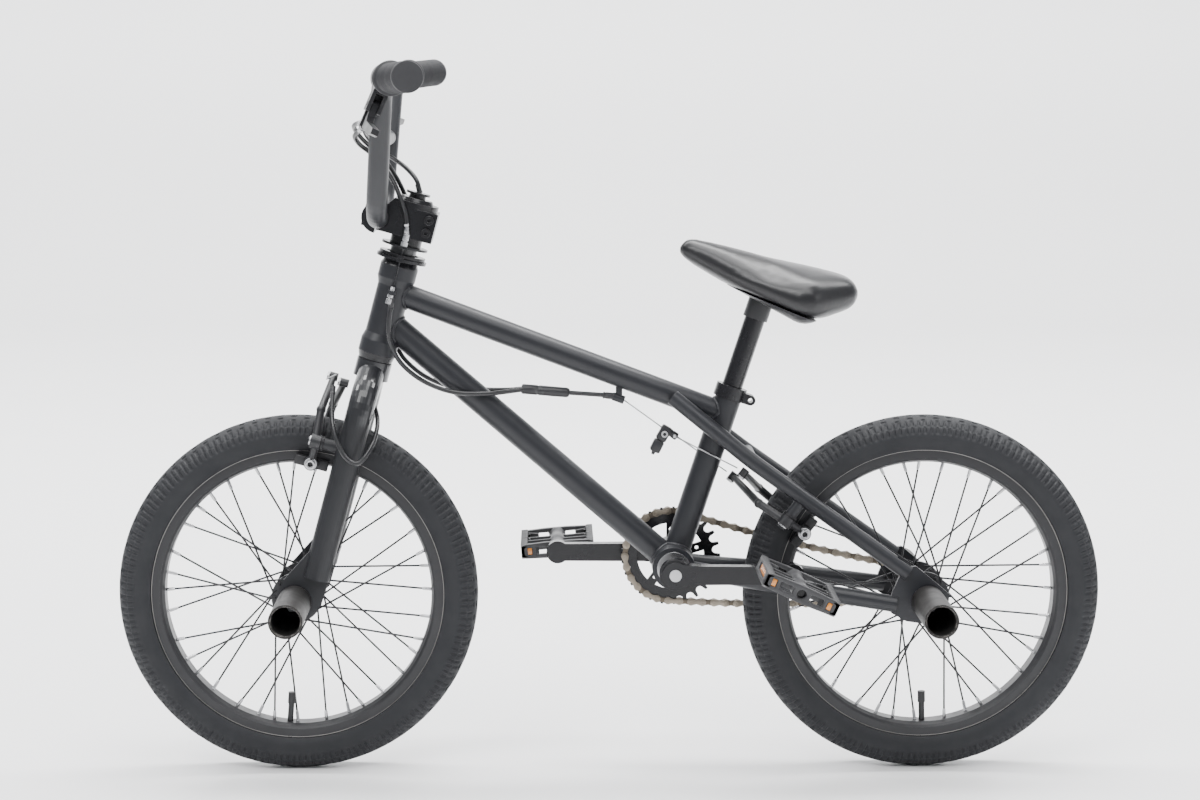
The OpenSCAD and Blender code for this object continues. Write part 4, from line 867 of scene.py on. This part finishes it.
# ---------------------------------------------------------------- pedals
def pedal(side, centre, tilt, node):
    """Moulded cage with toothed edges, ribs, a barrel round the axle and amber reflectors."""
    t = math.radians(tilt)
    m = Matrix.Translation(Vector(centre) * MM) @ Matrix.Rotation(t, 4, "Y")
    p, amber = Parts(), Parts()
    mm = lambda *v: tuple(x * MM for x in v)
    # barrel round the axle
    barrel = m @ Matrix.Rotation(math.radians(-90), 4, "X")
    prof = [(4.7, -45), (8.6, -45), (9.4, -44), (9.4, -36), (8.2, -34), (8.2, -12), (9.0, -10), (9.0, 10),
            (8.2, 12), (8.2, 34), (9.4, 36), (9.4, 42), (8.8, 43), (4.7, 43)]
    p.turned([(r * MM, side * z * MM) for r, z in prof], barrel, 36)
    # front and rear walls: toothed top and bottom edges with an open window for the reflector
    wall = [(-46, -6.4)]
    steps = 22
    for k in range(steps):
        y = -46 + 92 * (k + 0.5) / steps
        wall.append((y, -9.0 if k % 2 else -7.0))
    wall.append((46, -6.4))
    wall.append((46, 6.4))
    for k in range(steps - 1, -1, -1):
        y = -46 + 92 * (k + 0.5) / steps
        wall.append((y, 9.0 if k % 2 else 7.0))
    wall.append((-46, 6.4))
    window = [(-26, -4.2), (26, -4.2), (27.2, -3), (27.2, 3), (26, 4.2), (-26, 4.2), (-27.2, 3), (-27.2, -3)]
    for s in (-1, 1):
        x0 = 33.5 if s > 0 else -41
        at = m @ Matrix(((0, 0, 1, x0 * MM), (1, 0, 0, 0), (0, 1, 0, 0), (0, 0, 0, 1)))
        p.plate(at, [mm(a, b) for a, b in wall], [[mm(a, b) for a, b in window]], 0.0075, 0.0006)
        p.box(m, mm(min(s * 36, s * 33.6), -27, -4.2), mm(max(s * 36, s * 33.6), 27, 4.2), 0.0003)
        lens = m @ Matrix(((0, 0, s, s * 35.9 * MM), (1, 0, 0, 0), (0, 1, 0, 0), (0, 0, 0, 1)))
        amber.box(lens, mm(-25.6, -3.8, 0), mm(25.6, 3.8, 3.6), 0.0007)
        for k in range(16):
            amber.box(lens, mm(-24.4 + k * 3.1, -3.2, 3.5), mm(-22.4 + k * 3.1, 3.2, 4.0), 0.0002)
    # end walls, tapered, and the ribs between them
    for y, t0 in ((-46, 6), (40, 6)):
        end = [(-41, -6), (-36, -8), (-12, -9), (12, -9), (36, -8), (41, -6),
               (41, 6), (36, 8), (12, 9), (-12, 9), (-36, 8), (-41, 6)]
        at = m @ Matrix(((1, 0, 0, 0), (0, 0, 1, y * MM), (0, 1, 0, 0), (0, 0, 0, 1)))
        hole = [(5.2 * math.cos(a), 5.2 * math.sin(a)) for a in np.arange(24) * math.pi / 12]
        slots = [[(cx - w, -4.2), (cx + w, -4.2), (cx + w + 1, -3.2), (cx + w + 1, 3.2), (cx + w, 4.2),
                  (cx - w, 4.2), (cx - w - 1, 3.2), (cx - w - 1, -3.2)]
                 for cx, w in ((-17, 6.5), (17, 6.5), (-32.5, 3.2), (32.5, 3.2))]
        for cx in (-32.5, 32.5):
            amber.box(m, mm(cx - 3.9, y + 0.9, -3.9), mm(cx + 3.9, y + 5.1, 3.9), 0.0006)
        gaps = [[mm(a, b) for a, b in h] for h in [hole, *slots]]
        p.plate(at, [mm(a, b) for a, b in end], gaps, t0 * MM, 0.0006)
    for y in (-9, 9):
        for s in (-1, 1):
            lo, hi = sorted((s * 7, s * 34))
            p.box(m, mm(lo, y - 1.6, -5.8), mm(hi, y + 1.6, 5.8), 0.0005)
    for y in (-35.26, 35.26):
        for s in (-1, 1):
            g = m @ Matrix.Translation(Vector(mm(s * 28, y, 0)))
            g = g @ Matrix.Rotation(math.radians(38 * s * (1 if y > 0 else -1)), 4, "Z")
            p.box(g, mm(-8, -1.6, -6), mm(8, 1.6, 6), 0.0005)
    # pins moulded into the tread
    for y in (-30, 0, 30):
        for s in (-1, 1):
            for z in (-1, 1):
                p.turned([(0.00001, 0), (0.0021, 0), (0.0021, 0.0018), (0.0016, 0.0026), (0.00001, 0.0026)],
                         m @ Matrix.Translation(Vector(mm(s * 34.6, y, z * 6.0)))
                         @ Matrix.Rotation(0 if z > 0 else math.pi, 4, "X"), 12)
                p.box(m, mm(s * 33 - 2.4, y - 3.4, -6.2), mm(s * 33 + 2.4, y + 3.4, 6.2), 0.0005)
    o = p.done(node + "_cage", PLASTIC, node, "pedal_plastic", angle=32)
    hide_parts(node)
    amber.done(node + "_reflectors", AMBER, node, angle=32)


# ---------------------------------------------------------------- grips
def grips():
    """Ribbed rubber sleeves with a flange inside and a mushroomed end."""
    p = Parts()
    for side in (-1, 1):
        a = np.array([-225.436, side * 168.263, 752.396])
        b = np.array([-202, side * 290, 755])
        d = (b - a) / np.linalg.norm(b - a)
        length = float(np.linalg.norm(b - a))
        prof = [(11.2, 0.0), (17.0, 0.0), (17.8, 0.5), (18.0, 1.6), (17.6, 3.2), (16.4, 4.0), (14.6, 4.6)]
        z = 6.0
        while z < length - 9:
            prof += [(14.2, z), (14.4, z + 0.35), (15.2, z + 0.6), (15.5, z + 1.2),
                     (15.2, z + 1.8), (14.4, z + 2.05), (14.2, z + 2.4)]
            z += 3.6
        prof += [(14.4, length - 7), (15.6, length - 6), (15.6, length - 1.5), (15.0, length - 0.3),
                 (13.0, length + 0.1), (4.0, length + 0.1), (0.01, length + 0.1), (0.01, length - 1.6),
                 (11.2, length - 1.6)]
        p.turned([(r * MM, h * MM) for r, h in prof], axes_at(a * MM, d), 72)
    o = p.done("grip_sleeves", GRIP, "steering", "grip_rubber", angle=40)
    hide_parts("grips")


# ---------------------------------------------------------------- weld beads
def weld(p, a, b, ra, c, e, rc, end_at_b=False):
    """Rippled bead where the tube a-b of radius ra runs into the tube on the axis c-e of radius rc."""
    a, b, c, e = (np.array(v, float) for v in (a, b, c, e))
    if end_at_b:
        a, b = b, a
    d = (b - a) / np.linalg.norm(b - a)
    k = (e - c) / np.linalg.norm(e - c)
    u = np.cross(d, [0, 1, 0])
    u /= np.linalg.norm(u)
    w = np.cross(d, u)
    n = 132
    ring = []
    for i in range(n):
        ang = 2 * math.pi * i / n
        o = a + ra * (math.cos(ang) * u + math.sin(ang) * w)
        # where the line o + t d leaves the other tube
        m, v = o - c - k * np.dot(o - c, k), d - k * np.dot(d, k)
        qa, qb, qc = np.dot(v, v), 2 * np.dot(m, v), np.dot(m, m) - rc * rc
        disc = max(0.0, qb * qb - 4 * qa * qc)
        ring.append(o + d * (-qb + math.sqrt(disc)) / (2 * qa))
    ring = np.array(ring)
    rad = 1.7 + 0.35 * np.abs(np.sin(np.arange(n) * math.pi / 3))
    verts, faces, sides = [], [], 8
    for i in range(n):
        t = ring[(i + 1) % n] - ring[i - 1]
        t /= np.linalg.norm(t)
        x = np.cross(t, d)
        x /= np.linalg.norm(x)
        y = np.cross(t, x)
        for q in range(sides):
            g = 2 * math.pi * q / sides
            verts.append(tuple((ring[i] + rad[i] * (math.cos(g) * x + math.sin(g) * y)) * MM))
    for i in range(n):
        j = (i + 1) % n
        faces += [(i * sides + q, i * sides + (q + 1) % sides, j * sides + (q + 1) % sides, j * sides + q)
                  for q in range(sides)]
    p.add(verts, faces)


TOP_HEAD, DOWN_HEAD, TOP_SEAT, SHELL_R = 345, 313, (121.247, 0, 390.939), 23


def welds():
    p = Parts()
    head_a, head_b = at_head(0, 0, 276), at_head(0, 0, 373)
    bb = (67.5, 0, 226.5)
    seat = (0.310676, 0, 0.950516)
    seat_top = tuple(bb[i] + 203 * seat[i] for i in range(3))
    weld(p, at_head(0, 0, TOP_HEAD), TOP_SEAT, 13, head_a, head_b, 18)
    weld(p, at_head(0, 0, TOP_HEAD), TOP_SEAT, 13, bb, seat_top, 14.3, True)
    weld(p, at_head(0, 0, DOWN_HEAD), bb, 14.3, head_a, head_b, 18)
    weld(p, at_head(0, 0, DOWN_HEAD), bb, 14.3, (67.5, -40, 226.5), (67.5, 40, 226.5), SHELL_R, True)
    weld(p, bb, seat_top, 14.3, (67.5, -40, 226.5), (67.5, 40, 226.5), SHELL_R)
    p.done("frame_weld_beads", PAINT, "frame", "frame_paint")


# ---------------------------------------------------------------- the whole scene
LIP = material("machined_lip", (0.16, 0.155, 0.15), (0.30, 0.29, 0.28), (0.25, 0.4), 0.9, 1500, 0.1, 0.0001,
               round_mm=0)
VINYL = material("saddle_vinyl", (0.006, 0.006, 0.007), (0.012, 0.012, 0.0135), (0.30, 0.36), 0, 520, 0.22,
                 0.00025, dust=0.02, round_mm=0, spec=0.45)

set_camera()
dress_nodes()
for pre, x in (("front", FRONT_X), ("rear", REAR_X)):
    body = pre + "_wheel"
    tyre(pre + "_tyre_tread", x, body, pre + "_tyre")
    spokes(pre, x, body, pre + "_spokes")
    rim_lines(pre, x, body)
saddle()
cables()
hanger()
brake_fittings()
chain()
pedal(-1, (192.5, -125.5, 226.5), 24, "pedal_left")
pedal(1, (-57.5, 125.5, 226.5), -5, "pedal_right")
grips()
welds()


def studio():
    m, t, p = nodes_of("studio_white")
    tc = t.nodes.new("ShaderNodeTexCoord")
    c = mix(t, noise(t, tc.outputs["Object"], 3.0, 6.0), (0.90, 0.90, 0.905), (0.93, 0.93, 0.935))
    t.links.new(c, p.inputs["Base Color"])
    p.inputs["Roughness"].default_value = 0.45
    # wide floor that curves up into a wall far behind the bicycle
    reach, start, bend, top = 14.0, 4.6, 1.2, 9.0
    pts = [(-reach, 0.0), (start, 0.0)]
    pts += [(start + bend * math.sin(a), bend - bend * math.cos(a)) for a in np.radians(np.arange(7.5, 91, 7.5))]
    pts += [(start + bend, top)]
    verts = [(x, y, z) for y, z in pts for x in (-reach, reach)]
    faces = [(2 * i, 2 * i + 1, 2 * i + 3, 2 * i + 2) for i in range(len(pts) - 1)]
    me = bpy.data.meshes.new("studio_floor")
    me.from_pydata(verts, [], faces)
    for poly in me.polygons:
        poly.use_smooth = True
    me.materials.append(m)
    o = bpy.data.objects.new("studio_floor", me)
    bpy.context.scene.collection.objects.link(o)
    w = bpy.data.worlds.new("studio_world")
    w.use_nodes = True
    w.node_tree.nodes["Background"].inputs["Color"].default_value = (0.93, 0.96, 1.0, 1)
    w.node_tree.nodes["Background"].inputs["Strength"].default_value = 0.54
    bpy.context.scene.world = w
    area("key_light", (-1.6, -2.0, 2.7), (0, 0, 0.35), (2.0, 1.4), 54)
    area("top_light", (0.3, -0.1, 3.0), (0, 0, 0.3), (2.6, 1.6), 95)
    area("fill_light", (2.6, -1.6, 1.2), (0, 0, 0.35), (1.4, 1.4), 12)
    area("wall_light", (0, 1.2, 4.4), (0, 5.0, 0.2), (10.0, 1.4), 950)
    area("floor_light", (0, -2.6, 3.4), (0, -1.2, 0.0), (4.0, 1.0), 84)


studio()
